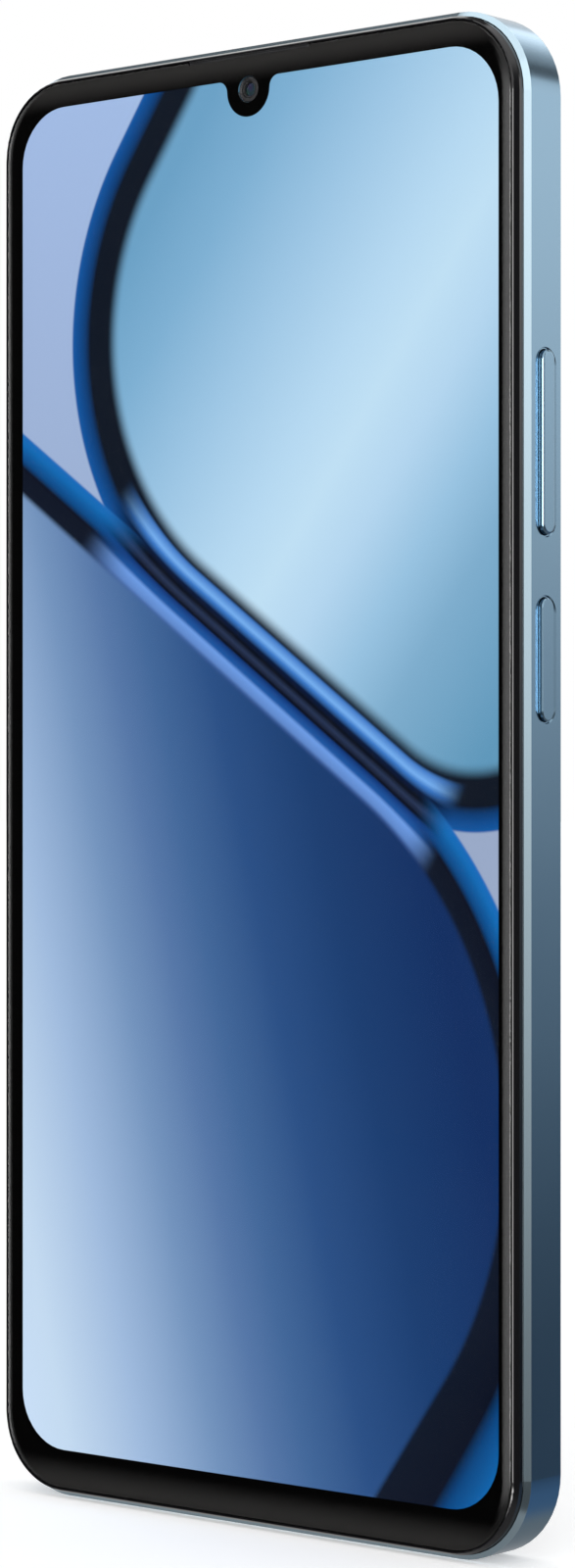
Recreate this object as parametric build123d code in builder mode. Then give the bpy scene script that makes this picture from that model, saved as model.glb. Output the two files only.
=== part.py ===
"""A large smartphone with a drop-notch screen, as an assembly of its separate pieces.

Millimetres. The phone stands on its bottom edge: +Z runs up towards the earpiece, the screen
faces -Y and +X is the side with the keys. The origin is at the middle of the bottom edge.
"""

from math import atan, degrees
import os

from build123d import *

os.makedirs("parts", exist_ok=True)

# ---- Body -------------------------------------------------------------------------------
body_width = 76.7
body_height = 167.3
body_thickness = 7.8
corner_radius = 9.5
fit = 0.05  # gap round a housing piece that drops into another

frame_setback = 1.65  # from the glass's face back to the side frame's front edge
frame_chamfer = 0.57
frame_rear_round = 0.3
frame_wall = 2.2
frame_front_wall = 0.6  # the thin wall round the front bezel
frame_rear_wall = 1.1  # the rim round the rear cover

# ---- Screen stack, from the front back ----------------------------------------------------
glass_thickness = 0.7
film_thickness = 0.1
panel_thickness = 0.8
backlight_thickness = 0.8
plate_thickness = 0.4
flange_thickness = 0.4
tape_thickness = 0.15

layer_gap = 0.01  # on each face of the clear adhesive and the printed film
glass_gap = 0.5  # from the bezel's outer wall to the glass, taken up by the lip
glass_slope_width = 1.1  # the glass falls away this far in from its edge
glass_slope_depth = 0.3
glass_slope_blend = 4.0
glass_edge_round = 0.3
lip_setback = 0.25  # the lip's top, behind the glass's face
lip_slope = 0.32
lip_height = 0.75
lip_round = 0.22
bezel_wall = 1.3
flange_width = 1.5
panel_top_gap = 0.35  # from the bezel's wall to the panel's upper edge
panel_bottom_gap = 0.65
window_side = 3.23  # from the body's edge to the lit picture
window_top = 3.93
window_bottom = 5.59
window_radius = 6.6
panel_margin = 0.9  # how far the panel runs on past the lit picture
backlight_foot = 4.1  # the panel's bare lower edge, where its driver and cable sit
backlight_margin = 0.6

# ---- Front camera, notch and earpiece ------------------------------------------------------
camera_drop = 5.15  # from the body's top to the front camera's axis
notch_radius = 3.1
notch_half_mouth = 4.4
notch_flare = 1.3
camera_ring_radius = 1.5
front_barrel_radius = 1.4
front_camera_size = 6.2
front_lens_radius = 1.0
front_camera_top_gap = 0.1
slit_length = 17.8
slit_depth = 0.3
slit_mesh_drop = 0.6  # how far the mesh runs down behind the glass
mesh_thickness = 0.15

# ---- Keys, on the +X side ------------------------------------------------------------------
volume_z = 46.85  # down from the body's top
volume_length = 19.8
volume_standout = 0.5
volume_edge_round = 0.28
power_z = 70.15
power_length = 13.2
power_standout = 0.35
power_edge = 0.13
key_height = 2.1
key_gap = 0.12
key_depth = 3.2  # from the side frame's front edge to the keys' centre line
recess_height = 3.8
recess_depth = 0.2
recess_end = 0.3
key_flange = 0.6
key_flange_lip = 0.4
key_flange_end = 0.8
key_flange_gap = 0.2  # between a key's flange and the bezel's in front of it
power_travel = 0.25
rocker_gap = 0.3
rocker_plunger = 0.6
power_plunger = 0.5
sensor_border = 1.2  # from the power key's end to the fingerprint sensor
sensor_rim = 0.4
sensor_depth = 0.35  # from the power key's face back to the sensor's
sensor_thickness = 0.7
dome_radius = 1.0
dome_height = 0.6
dome_spread = 6.5
dome_base = (2.3, 3.0)
key_clearance = 0.3
key_room = 2.35  # from the side frame's inner wall to the key bracket's inner face
bracket_thickness = 0.3
flex_thickness = 0.15

# ---- Card tray, on the -X side ---------------------------------------------------------------
tray_z = 24.3  # down from the body's top
tray_length = 16.0
tray_height = 2.3
tray_depth = 27.0
tray_width = 13.2
tray_thickness = 0.8
tray_door = 1.3
tray_setback = 0.1  # the tray's plate lies this far in front of its door's middle
card_wall = 0.8
card_floor = 0.15
card_ledge = 1.0
gasket_width = 0.5
gasket_depth = 0.6
reader_wall = 0.2
reader_play = 0.15
eject_radius = 0.45
eject_offset = 0.35

# ---- Bottom edge -----------------------------------------------------------------------------
port_width = 8.94
port_height = 3.2
port_wall = 0.3
port_length = 7.0
tongue_width = 6.69
tongue_thickness = 0.7
jack_x = -22.0
jack_radius = 1.8
jack_depth = 14.2
jack_width = 5.4
jack_length = 13.4
microphone_x = -12.0
microphone_hole = 0.5
top_microphone_x = 14.6
speaker_left = 12.0
speaker_right_gap = 1.0
speaker_lift = 0.7
speaker_height = 17.4
speaker_seat = 0.05
speaker_dish = 0.4
speaker_rim = 3.0
sound_hole = 0.6
sound_holes = 6
sound_pitch = 2.4

# ---- Inside ----------------------------------------------------------------------------------
board_standoff = 1.1
board_thickness = 0.7
board_margin = 0.6
board_gap = 0.3
board_right_gap = 0.6
board_lift = 0.4
board_corner = 3.0
board_top_gap = 3.8
screw_play = 0.15
sub_board_top = 28.0
sub_board_right = 10.0
main_board_height = 38.5
battery_height_gap = 3.0
battery_width = 62.0
battery_clearance = 0.2
cover_thickness = 0.8
inner_cover_thickness = 0.6
inner_cover_gap = 0.2
screw_radius = 0.6
screw_head = 1.15
screw_head_height = 0.4
screw_head_seat = 0.05
standoff_radius = 1.5
boss_radius = 1.8
boss_play = 0.1
motor_radius = 4.0
motor_play = 0.15
motor_x = -27.0
motor_z = 22.0
motor_height = 2.4
motor_wall = 0.2
shaft_radius = 0.3
rotor_gap = 0.3
rotor_flat = 0.9  # how far the half-round weight reaches past the shaft
running_gap = 0.05

# ---- Rear cameras ----------------------------------------------------------------------------
island_width = 20.0
island_length = 40.0
island_radius = 6.0
island_height = 1.0
island_side = 16.85  # from the body's +X side to the island's centre line
island_drop = 25.3  # from the body's top to the island's centre
lens_pitch = 14.0
lens_stagger = 0.72  # of the pitch: how far the first lens and the flash lie from the middle
ring_outer = 5.6
ring_height = 0.25
window_disc = 4.5
window_disc_thickness = 0.45
window_ledge = 0.6
window_standout = 0.1
main_barrel_radius = 3.0
barrel_play = 0.06
barrel_gap = 0.1
lens_well = 0.6  # how deep the lens lies in its barrel
main_barrel_wall = 0.9
second_barrel_wall = 0.7
main_camera_size = 9.6
second_camera_size = 7.0
second_barrel_radius = 2.0
focus_travel = 0.3
focus_gap = 0.25
camera_play = 0.3  # round the rear cameras, in the main board
flash_radius = 2.0
flash_led_size = 3.0
flash_seat = 0.2
flash_ledge = 0.3
neck_inset = 0.7  # from the camera frame's edge to the part of it that goes through the cover
island_round = 0.4
cover_edge_round = 0.25

# ---- Places worked out from the sizes above ----------------------------------------------------
half_width = body_width / 2
front_y = -body_thickness / 2
rear_y = body_thickness / 2
frame_front_y = front_y + frame_setback
glass_back_y = front_y + glass_thickness
panel_y = glass_back_y + film_thickness
ledge_y = panel_y + tape_thickness
backlight_y = panel_y + panel_thickness
plate_y = backlight_y + backlight_thickness
plate_back_y = plate_y + plate_thickness
flange_back_y = plate_back_y + flange_thickness
cover_y = rear_y - cover_thickness
cover_ledge_y = cover_y - tape_thickness
board_y = plate_back_y + board_standoff
board_back_y = board_y + board_thickness
inner_cover_back_y = cover_y - inner_cover_gap
inner_cover_y = inner_cover_back_y - inner_cover_thickness
slot_y = (flange_back_y + cover_ledge_y) / 2  # the middle of the side frame's full wall
key_y = frame_front_y + key_depth

bezel_inset = frame_front_wall + fit
glass_inset = bezel_inset + glass_gap + fit
pocket_inset = glass_inset - fit
lip_y = front_y + lip_setback
lip_foot_y = lip_y + lip_height
lip_angle = degrees(atan(lip_slope / lip_height))
well_inset = bezel_inset + bezel_wall
flange_inset = well_inset + flange_width
cover_inset = frame_rear_wall + fit

wall_x = half_width - frame_wall
bracket_x = frame_wall + key_room
board_x = wall_x - board_margin
floor_z = frame_wall
roof_z = body_height - frame_wall
camera_z = body_height - camera_drop
front_body_high = roof_z - front_camera_top_gap
front_body_low = front_body_high - front_camera_size
volume_centre = body_height - volume_z
power_centre = body_height - power_z
tray_centre = body_height - tray_z
main_board_top = body_height - board_top_gap
main_board_bottom = main_board_top - main_board_height
bracket_face = half_width - bracket_x + bracket_thickness
main_board_right = half_width - bracket_x - board_right_gap
flex_face = bracket_face + flex_thickness
dome_top = flex_face + dome_height
island_x = half_width - island_side
island_z = body_height - island_drop
main_camera_z = island_z + lens_pitch * lens_stagger
second_camera_z = main_camera_z - lens_pitch
flash_z = second_camera_z - lens_pitch * lens_stagger
reader_left = -board_x
reader_length = tray_depth + 0.7
reader_right = reader_left + reader_length
through = 1.0  # how far a cut runs on past the faces it opens

sub_screws = [(-30.0, 8.0), (-16.0, 22.0), (7.2, 12.0), (7.2, 25.0)]
main_screws = [
    (reader_left + 6.8, main_board_bottom + 3.8),
    (reader_left + 4.2, main_board_top - 4.2),
    (9.2, main_board_bottom + 3.0),
    (9.2, main_board_top - 3.6),
    (main_board_right - 2.0, main_board_top - 3.4),
]


def facing(y):
    """The plane at depth y that faces the front, with X across it and Z up it."""
    return Plane.XZ.offset(-y)


def outline(inset, mode=Mode.ADD):
    """The body's rounded outline, moved in by inset, in a sketch that faces the front."""
    with Locations((0, body_height / 2)):
        RectangleRounded(
            body_width - 2 * inset, body_height - 2 * inset, corner_radius - inset, mode=mode
        )


def layer(inset, y_front, y_back, mode=Mode.ADD):
    """A plate of the body's outline, moved in by inset, between two depths."""
    with BuildSketch(facing(y_back)) as shape:
        outline(inset)
    extrude(shape.sketch, amount=y_back - y_front, mode=mode)


def ring(outer_inset, inner_inset, y_front, y_back):
    """A closed band that follows the body's outline between two insets and two depths."""
    with BuildSketch(facing(y_back)) as shape:
        outline(outer_inset)
        outline(inner_inset, mode=Mode.SUBTRACT)
    extrude(shape.sketch, amount=y_back - y_front)


def block(x, y, z, mode=Mode.ADD):
    """A rectangular block between two limits along each axis."""
    with Locations(((x[0] + x[1]) / 2, (y[0] + y[1]) / 2, (z[0] + z[1]) / 2)):
        Box(x[1] - x[0], y[1] - y[0], z[1] - z[0], mode=mode)


def post(x, z, radius, y_front, y_back, mode=Mode.ADD):
    """A round post or hole along Y between two depths."""
    with BuildSketch(facing(y_back)) as shape:
        with Locations((x, z)):
            Circle(radius)
    extrude(shape.sketch, amount=y_back - y_front, mode=mode)


def rounded_block(x, y, z, radius, mode=Mode.ADD):
    """A block whose outline, seen from the front, has rounded corners."""
    with BuildSketch(facing(y[1])) as shape:
        with Locations(((x[0] + x[1]) / 2, (z[0] + z[1]) / 2)):
            RectangleRounded(x[1] - x[0], z[1] - z[0], radius)
    extrude(shape.sketch, amount=y[1] - y[0], mode=mode)


def within_walls(gap):
    """Keep only what lies inside the side frame, a gap away from its wall."""
    layer(frame_wall + gap, front_y, rear_y, mode=Mode.INTERSECT)


def side_slot(x_low, x_high, y, z, length, height, mode=Mode.ADD):
    """A bar along Z with round ends, seen from the side, between two places across the phone."""
    with BuildSketch(Plane.YZ.offset(x_low)) as shape:
        with Locations((y, z)):
            SlotOverall(length, height, rotation=90)
    extrude(shape.sketch, amount=x_high - x_low, mode=mode)


def side_post(x_low, x_high, y, z, radius, mode=Mode.ADD):
    """A round post or hole across the phone, along X."""
    with BuildSketch(Plane.YZ.offset(x_low)) as shape:
        with Locations((y, z)):
            Circle(radius)
    extrude(shape.sketch, amount=x_high - x_low, mode=mode)


def edge_slot(x, y, width, height, z_low, z_high, mode=Mode.ADD):
    """A flat tube or hole with round ends, along Z."""
    with BuildSketch(Plane.XY.offset(z_low)) as shape:
        with Locations((x, y)):
            SlotOverall(width, height)
    extrude(shape.sketch, amount=z_high - z_low, mode=mode)


def edge_post(x, y, radius, z_low, z_high, mode=Mode.ADD):
    """A round post or hole along Z."""
    with BuildSketch(Plane.XY.offset(z_low)) as shape:
        with Locations((x, y)):
            Circle(radius)
    extrude(shape.sketch, amount=z_high - z_low, mode=mode)


def window(grow=0.0, mode=Mode.ADD):
    """The lit picture's outline: a rounded rectangle with the drop-shaped notch at its top."""
    low, high = window_bottom - grow, body_height - window_top + grow
    width = body_width - 2 * (window_side - grow)
    with BuildSketch(mode=Mode.PRIVATE) as shape:
        with Locations((0, (low + high) / 2)):
            RectangleRounded(width, high - low, window_radius)
        with Locations((0, camera_z)):
            Circle(notch_radius - grow, mode=Mode.SUBTRACT)
        with BuildSketch(mode=Mode.SUBTRACT):
            with BuildLine():
                neck = notch_radius - grow
                mouth = notch_half_mouth - grow
                left = Line((-neck, camera_z), (-neck, high - notch_flare))
                left_shoulder = TangentArc(left @ 1, (-mouth, high), tangent=(0, 1))
                top = Line(left_shoulder @ 1, (mouth, high))
                right_shoulder = TangentArc(top @ 1, (neck, high - notch_flare), tangent=(-1, 0))
                Polyline(right_shoulder @ 1, (neck, camera_z), (-neck, camera_z))
            make_face()
    add(shape.sketch, mode=mode)


def screw_holes(places, radius, y_front, y_back, mode=Mode.SUBTRACT):
    """The same round hole, or post, at every screw of a group."""
    for x, z in places:
        post(x, z, radius, y_front, y_back, mode=mode)


# ==== Screen ====================================================================================
slit_half = slit_length / 2
slit_z = body_height - glass_inset - slit_depth
slit_roof = body_height - pocket_inset + 0.1
slope_y = front_y + glass_slope_depth

with BuildPart() as cover_glass:
    layer(glass_inset, slope_y, glass_back_y)
    with BuildSketch(facing(slope_y)):
        outline(glass_inset)
    extrude(amount=glass_slope_depth, taper=degrees(atan(glass_slope_width / glass_slope_depth)))
    fillet(cover_glass.edges().filter_by_position(Axis.Y, slope_y, slope_y), glass_edge_round)
    fillet(cover_glass.edges().group_by(Axis.Y)[0], glass_slope_blend)
    block(
        (-slit_half, slit_half), (front_y - through, panel_y), (slit_z, body_height),
        mode=Mode.SUBTRACT,
    )
cover_glass.part.label = "cover_glass"

film_y = glass_back_y + layer_gap
film_back_y = panel_y - layer_gap
with BuildPart() as border_film:
    with BuildSketch(facing(film_back_y)):
        outline(glass_inset)
        window(mode=Mode.SUBTRACT)
        with Locations((0, camera_z)):
            Circle(camera_ring_radius, mode=Mode.SUBTRACT)
    extrude(amount=film_back_y - film_y)
    block(
        (-slit_half, slit_half), (glass_back_y - through, ledge_y), (slit_z, body_height),
        mode=Mode.SUBTRACT,
    )
border_film.part.label = "border_film"

with BuildPart() as optical_adhesive:
    with BuildSketch(facing(film_back_y)):
        window(grow=-fit)
    extrude(amount=film_back_y - film_y)
optical_adhesive.part.label = "optical_adhesive"

panel_x = half_width - window_side + panel_margin
panel_low = well_inset + panel_bottom_gap
panel_high = body_height - well_inset - panel_top_gap
notch_cut = front_barrel_radius + 0.8
mouth_cut = notch_half_mouth - 0.2
mouth_cut_z = camera_z + 1.25
with BuildPart() as display_panel:
    rounded_block(
        (-panel_x, panel_x), (panel_y, backlight_y), (panel_low, panel_high), window_radius
    )
    post(0, camera_z, notch_cut, panel_y - through, backlight_y + through, mode=Mode.SUBTRACT)
    block(
        (-notch_cut, notch_cut), (panel_y - through, backlight_y + through),
        (camera_z, body_height), mode=Mode.SUBTRACT,
    )
    block(
        (-mouth_cut, mouth_cut), (panel_y - through, backlight_y + through),
        (mouth_cut_z, body_height), mode=Mode.SUBTRACT,
    )
display_panel.part.label = "display_panel"

backlight_low = panel_low + backlight_foot
backlight_high = body_height - window_top + backlight_margin
with BuildPart() as backlight_unit:
    rounded_block(
        (-panel_x, panel_x), (backlight_y, plate_y), (backlight_low, backlight_high), window_radius
    )
    post(0, camera_z, notch_cut, backlight_y - through, plate_y + through, mode=Mode.SUBTRACT)
    block(
        (-notch_half_mouth, notch_half_mouth), (backlight_y - through, plate_y + through),
        (camera_z, body_height), mode=Mode.SUBTRACT,
    )
backlight_unit.part.label = "backlight_unit"

driver_half = 12.0
driver_height = 1.5
driver_thickness = 0.4
driver_low = panel_low + 0.6
with BuildPart() as display_driver:
    block(
        (-driver_half, driver_half), (backlight_y, backlight_y + driver_thickness),
        (driver_low, driver_low + driver_height),
    )
display_driver.part.label = "display_driver"

flex_x = (-16.0, -6.0)
flex_start = driver_low + driver_height + 0.2
flex_fold = panel_low + 3.4
flex_back_y = board_y - 0.9
flex_end = 16.5
with BuildPart() as display_flex:
    block(flex_x, (backlight_y, backlight_y + flex_thickness), (flex_start, flex_fold))
    block(flex_x, (backlight_y, flex_back_y), (flex_fold - flex_thickness, flex_fold))
    block(
        flex_x, (flex_back_y - flex_thickness, flex_back_y), (flex_fold - flex_thickness, flex_end)
    )
display_flex.part.label = "display_flex"

slit_tape_gap = 0.2
slit_tape_drop = 1.2
with BuildPart() as display_adhesive:
    ring(glass_inset, well_inset + fit, panel_y, ledge_y)
    block(
        (-slit_half - slit_tape_gap, slit_half + slit_tape_gap),
        (panel_y - through, ledge_y + through), (slit_z - slit_tape_drop, body_height),
        mode=Mode.SUBTRACT,
    )
display_adhesive.part.label = "display_adhesive"

# ==== Front housing =============================================================================
camera_hole = front_barrel_radius + 0.25
sound_x = (-8.5, -4.5)  # the earpiece's sound way, through the bezel's flange and the plate
sound_z = roof_z - 1.1
sound_way = 1.0
slit_foot = slit_z - 0.7
jack_half = jack_width / 2
jack_relief = jack_half + 0.3
keys = [(volume_centre, volume_length), (power_centre, power_length)]
key_flange_y = (flange_back_y + key_flange_gap, key_y + key_height / 2 + key_flange_lip)
with BuildPart() as front_bezel:
    layer(bezel_inset, lip_foot_y, flange_back_y)
    with BuildSketch(facing(lip_foot_y)):
        outline(bezel_inset)
    extrude(amount=lip_height, taper=lip_angle)
    fillet(front_bezel.edges().group_by(Axis.Y)[0], lip_round)
    layer(pocket_inset, lip_y - through, ledge_y, mode=Mode.SUBTRACT)
    layer(well_inset, ledge_y - through, plate_back_y, mode=Mode.SUBTRACT)
    layer(flange_inset, plate_back_y - through, flange_back_y + through, mode=Mode.SUBTRACT)
    block(
        (-slit_half, slit_half), (lip_y - through, plate_y), (slit_foot, slit_roof),
        mode=Mode.SUBTRACT,
    )
    block(
        sound_x, (plate_back_y - through, flange_back_y + through),
        (sound_z - through, sound_z + sound_way), mode=Mode.SUBTRACT,
    )
    block(
        (jack_x - jack_relief, jack_x + jack_relief), (plate_back_y, flange_back_y + through),
        (floor_z, flange_inset + through), mode=Mode.SUBTRACT,
    )
front_bezel.part.label = "front_bezel"

plate_inset = well_inset + fit
screw_bite = 0.02
screw_skin = 0.1  # left of the plate in front of a screw hole
flex_slot_gap = 0.5
with BuildPart() as mid_plate:
    layer(plate_inset, plate_y, plate_back_y)
    screw_holes(sub_screws + main_screws, standoff_radius, plate_back_y, board_y, mode=Mode.ADD)
    screw_holes(
        sub_screws + main_screws, screw_radius + screw_bite, plate_y + screw_skin,
        board_y + through,
    )
    post(0, camera_z, camera_hole, plate_y - through, plate_back_y + through, mode=Mode.SUBTRACT)
    block(
        (flex_x[0] - flex_slot_gap, flex_x[1] + flex_slot_gap),
        (plate_y - through, plate_back_y + through),
        (flex_fold - flex_thickness - flex_slot_gap, flex_fold + flex_slot_gap),
        mode=Mode.SUBTRACT,
    )
    block(
        sound_x, (plate_y - through, plate_back_y + through), (sound_z, sound_z + sound_way),
        mode=Mode.SUBTRACT,
    )
mid_plate.part.label = "mid_plate"

# ==== Side frame ================================================================================
port_hole_width = port_width + 2 * key_gap
port_hole_height = port_height + 2 * key_gap
hole_left = speaker_left + speaker_rim
tray_slot_length = tray_length + 2 * fit
with BuildPart() as side_frame:
    layer(0, frame_front_y, rear_y)
    front_edges = side_frame.edges().group_by(Axis.Y)[0]
    chamfer(front_edges, frame_chamfer)
    rear_edges = side_frame.edges().group_by(Axis.Y)[-1]
    fillet(rear_edges, frame_rear_round)
    layer(frame_front_wall, frame_front_y - through, flange_back_y, mode=Mode.SUBTRACT)
    layer(frame_wall, flange_back_y - through, cover_ledge_y + through, mode=Mode.SUBTRACT)
    layer(frame_rear_wall, cover_ledge_y, rear_y + through, mode=Mode.SUBTRACT)
    for centre, length in keys:
        with BuildSketch(Plane.YZ.offset(half_width)):
            with Locations((key_y, centre)):
                SlotOverall(length + 2 * recess_end, recess_height, rotation=90)
        with BuildSketch(Plane.YZ.offset(half_width - recess_depth)):
            with Locations((key_y, centre)):
                SlotOverall(length + 4 * key_gap, key_height + 4 * key_gap, rotation=90)
        loft(mode=Mode.SUBTRACT)
        side_slot(
            wall_x - through, half_width + through, key_y, centre, length + 2 * key_gap,
            key_height + 2 * key_gap, mode=Mode.SUBTRACT,
        )
    side_slot(
        -half_width - through, -wall_x + through, slot_y, tray_centre, tray_slot_length,
        tray_height + 2 * fit, mode=Mode.SUBTRACT,
    )
    edge_slot(
        0, slot_y, port_hole_width, port_hole_height, -through, floor_z + through,
        mode=Mode.SUBTRACT,
    )
    edge_post(jack_x, slot_y, jack_radius, -through, floor_z + through, mode=Mode.SUBTRACT)
    edge_post(
        microphone_x, slot_y, microphone_hole, -through, floor_z + through, mode=Mode.SUBTRACT
    )
    for hole in range(sound_holes):
        edge_post(
            hole_left + hole * sound_pitch, slot_y, sound_hole, -through, floor_z + through,
            mode=Mode.SUBTRACT,
        )
    edge_post(
        top_microphone_x, slot_y, microphone_hole, roof_z - through, body_height + through,
        mode=Mode.SUBTRACT,
    )
side_frame.part.label = "side_frame"

# ==== Keys ======================================================================================
rocker_flange_x = wall_x - rocker_gap
rocker_flange_half = volume_length / 2 + key_flange_end
with BuildPart() as volume_rocker:
    side_slot(
        rocker_flange_x - key_flange, half_width + volume_standout, key_y, volume_centre,
        volume_length, key_height,
    )
    outer_edges = volume_rocker.edges().group_by(Axis.X)[-1]
    fillet(outer_edges, volume_edge_round)
    block(
        (rocker_flange_x - key_flange, rocker_flange_x), key_flange_y,
        (volume_centre - rocker_flange_half, volume_centre + rocker_flange_half),
    )
    for side in (-1, 1):
        side_post(
            dome_top + key_clearance, rocker_flange_x - key_flange, key_y,
            volume_centre + side * dome_spread, rocker_plunger,
        )
volume_rocker.part.label = "volume_rocker"

power_flange_x = wall_x - 2 * fit
power_flange_half = power_length / 2 + key_flange_end
sensor_length = power_length - 2 * sensor_border
sensor_height = key_height - 2 * sensor_rim
sensor_front = half_width + power_standout - sensor_depth
with BuildPart() as power_key:
    side_slot(
        power_flange_x - key_flange, half_width + power_standout, key_y, power_centre,
        power_length, key_height,
    )
    outer_edges = power_key.edges().group_by(Axis.X)[-1]
    chamfer(outer_edges, power_edge)
    block(
        (power_flange_x - key_flange, power_flange_x), key_flange_y,
        (power_centre - power_flange_half, power_centre + power_flange_half),
    )
    side_slot(
        power_flange_x - through, sensor_front, key_y, power_centre, sensor_length, sensor_height,
        mode=Mode.SUBTRACT,
    )
power_key.part.label = "power_key"

with BuildPart() as fingerprint_sensor:
    side_slot(
        sensor_front - sensor_thickness, sensor_front, key_y, power_centre,
        sensor_length - 2 * fit, sensor_height - 2 * fit,
    )
    side_post(dome_top + key_clearance, sensor_front, key_y, power_centre, power_plunger)
fingerprint_sensor.part.label = "fingerprint_sensor"

bracket_end = 1.6
bracket_low = power_centre - power_length / 2 - bracket_end
bracket_high = volume_centre + volume_length / 2 + bracket_end
bracket_back_y = key_y + 1.5
bracket_hole = 0.8
rib_half = (0.7, 0.5)  # the rib the volume key rocks over, across and along the phone
rib_gap = 0.15
flex_half = 1.2
rib_opening = (0.8, 0.7)
with BuildPart() as key_bracket:
    block(
        (bracket_face - bracket_thickness, bracket_face), (plate_back_y, bracket_back_y),
        (bracket_low, bracket_high),
    )
    block(
        (bracket_face, rocker_flange_x - key_flange - rib_gap),
        (key_y - rib_half[0], key_y + rib_half[0]),
        (volume_centre - rib_half[1], volume_centre + rib_half[1]),
    )
    side_post(
        half_width - bracket_x - through, bracket_face, slot_y,
        (volume_centre + power_centre) / 2, bracket_hole, mode=Mode.SUBTRACT,
    )
key_bracket.part.label = "key_bracket"

with BuildPart() as key_flex:
    block(
        (bracket_face, flex_face), (key_y - flex_half, key_y + flex_half),
        (power_centre - 3.0, volume_centre + dome_spread + 2.0),
    )
    block(
        (bracket_face - through, flex_face + through),
        (key_y - rib_opening[0], key_y + rib_opening[0]),
        (volume_centre - rib_opening[1], volume_centre + rib_opening[1]), mode=Mode.SUBTRACT,
    )
key_flex.part.label = "key_flex"

with BuildPart() as key_domes:
    for centre in (volume_centre - dome_spread, volume_centre + dome_spread, power_centre):
        block(
            (flex_face, flex_face + dome_height / 2),
            (key_y - dome_base[0] / 2, key_y + dome_base[0] / 2),
            (centre - dome_base[1] / 2, centre + dome_base[1] / 2),
        )
        side_post(flex_face + dome_height / 2, dome_top, key_y, centre, dome_radius)
key_domes.part.label = "key_domes"

# ==== Card tray =================================================================================
door_back = -half_width + tray_door
tray_y = (slot_y - tray_setback, slot_y - tray_setback + tray_thickness)
tray_low, tray_high = tray_centre - tray_width / 2, tray_centre + tray_width / 2
collar_length = tray_length - 2 * gasket_depth
collar_height = tray_height - 0.9
card_start = door_back + gasket_width + 1.2
card_length = (-half_width + tray_depth - card_start - 2 * card_wall) / 2
eject_z = tray_low + eject_offset
with BuildPart() as sim_tray:
    side_slot(-half_width, door_back, slot_y, tray_centre, tray_length, tray_height)
    side_slot(
        door_back, door_back + gasket_width + 0.15, slot_y, tray_centre, collar_length,
        collar_height,
    )
    block((door_back, -half_width + tray_depth), tray_y, (tray_low, tray_high))
    for place in range(2):
        card_x = card_start + place * (card_length + card_wall)
        block(
            (card_x, card_x + card_length), (tray_y[0] + card_floor, tray_y[1] + through),
            (tray_low + card_wall, tray_high - card_wall), mode=Mode.SUBTRACT,
        )
        block(
            (card_x + card_ledge, card_x + card_length - card_ledge),
            (tray_y[0] - through, tray_y[1]),
            (tray_low + card_wall + card_ledge, tray_high - card_wall - card_ledge),
            mode=Mode.SUBTRACT,
        )
    side_post(
        -half_width - through, door_back + through, slot_y, eject_z, eject_radius,
        mode=Mode.SUBTRACT,
    )
sim_tray.part.label = "sim_tray"

with BuildPart() as tray_gasket:
    side_slot(
        door_back, door_back + gasket_width, slot_y, tray_centre, tray_length - 0.2,
        tray_height - 0.1,
    )
    side_slot(
        door_back - through, door_back + through, slot_y, tray_centre, collar_length,
        collar_height, mode=Mode.SUBTRACT,
    )
    side_post(
        door_back - through, door_back + through, slot_y, eject_z, eject_radius,
        mode=Mode.SUBTRACT,
    )
tray_gasket.part.label = "tray_gasket"

tray_play = 0.1
reader_y = (board_back_y, tray_y[1] + tray_play + reader_wall)
reader_z = (tray_low - reader_play, tray_high + reader_play)
with BuildPart() as card_reader:
    block(
        (reader_left, reader_right), reader_y,
        (reader_z[0] - reader_wall, reader_z[1] + reader_wall),
    )
    block(
        (reader_left - through, reader_right - reader_wall),
        (tray_y[0] - tray_play, tray_y[1] + tray_play), reader_z, mode=Mode.SUBTRACT,
    )
card_reader.part.label = "card_reader"

# ==== Boards ====================================================================================
port_cut = port_width / 2 + 0.1
jack_cut = jack_half + 0.1
camera_cut = main_camera_size / 2 + camera_play
second_cut = second_camera_size / 2 + camera_play
front_cut = (-16.0, front_camera_size / 2 + 0.2)  # the earpiece and the front camera
screw_clear = screw_radius + screw_play
board_cut_y = (board_y - through, board_back_y + through)
sub_board_low = floor_z + board_lift
sub_board_step = 4.0
arm_low = sub_board_low + speaker_height + 1.0
with BuildPart() as main_board:
    rounded_block(
        (-board_x, main_board_right), (board_y, board_back_y), (main_board_bottom, main_board_top),
        board_corner,
    )
    block(
        (island_x - camera_cut, island_x + camera_cut), board_cut_y,
        (main_camera_z - camera_cut, main_camera_z + camera_cut), mode=Mode.SUBTRACT,
    )
    block(
        (island_x - second_cut, island_x + second_cut), board_cut_y,
        (second_camera_z - second_cut, second_camera_z + second_cut), mode=Mode.SUBTRACT,
    )
    block(front_cut, board_cut_y, (front_body_low - 0.3, body_height), mode=Mode.SUBTRACT)
    screw_holes(main_screws, screw_clear, *board_cut_y)
    within_walls(board_gap)
main_board.part.label = "main_board"

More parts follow.
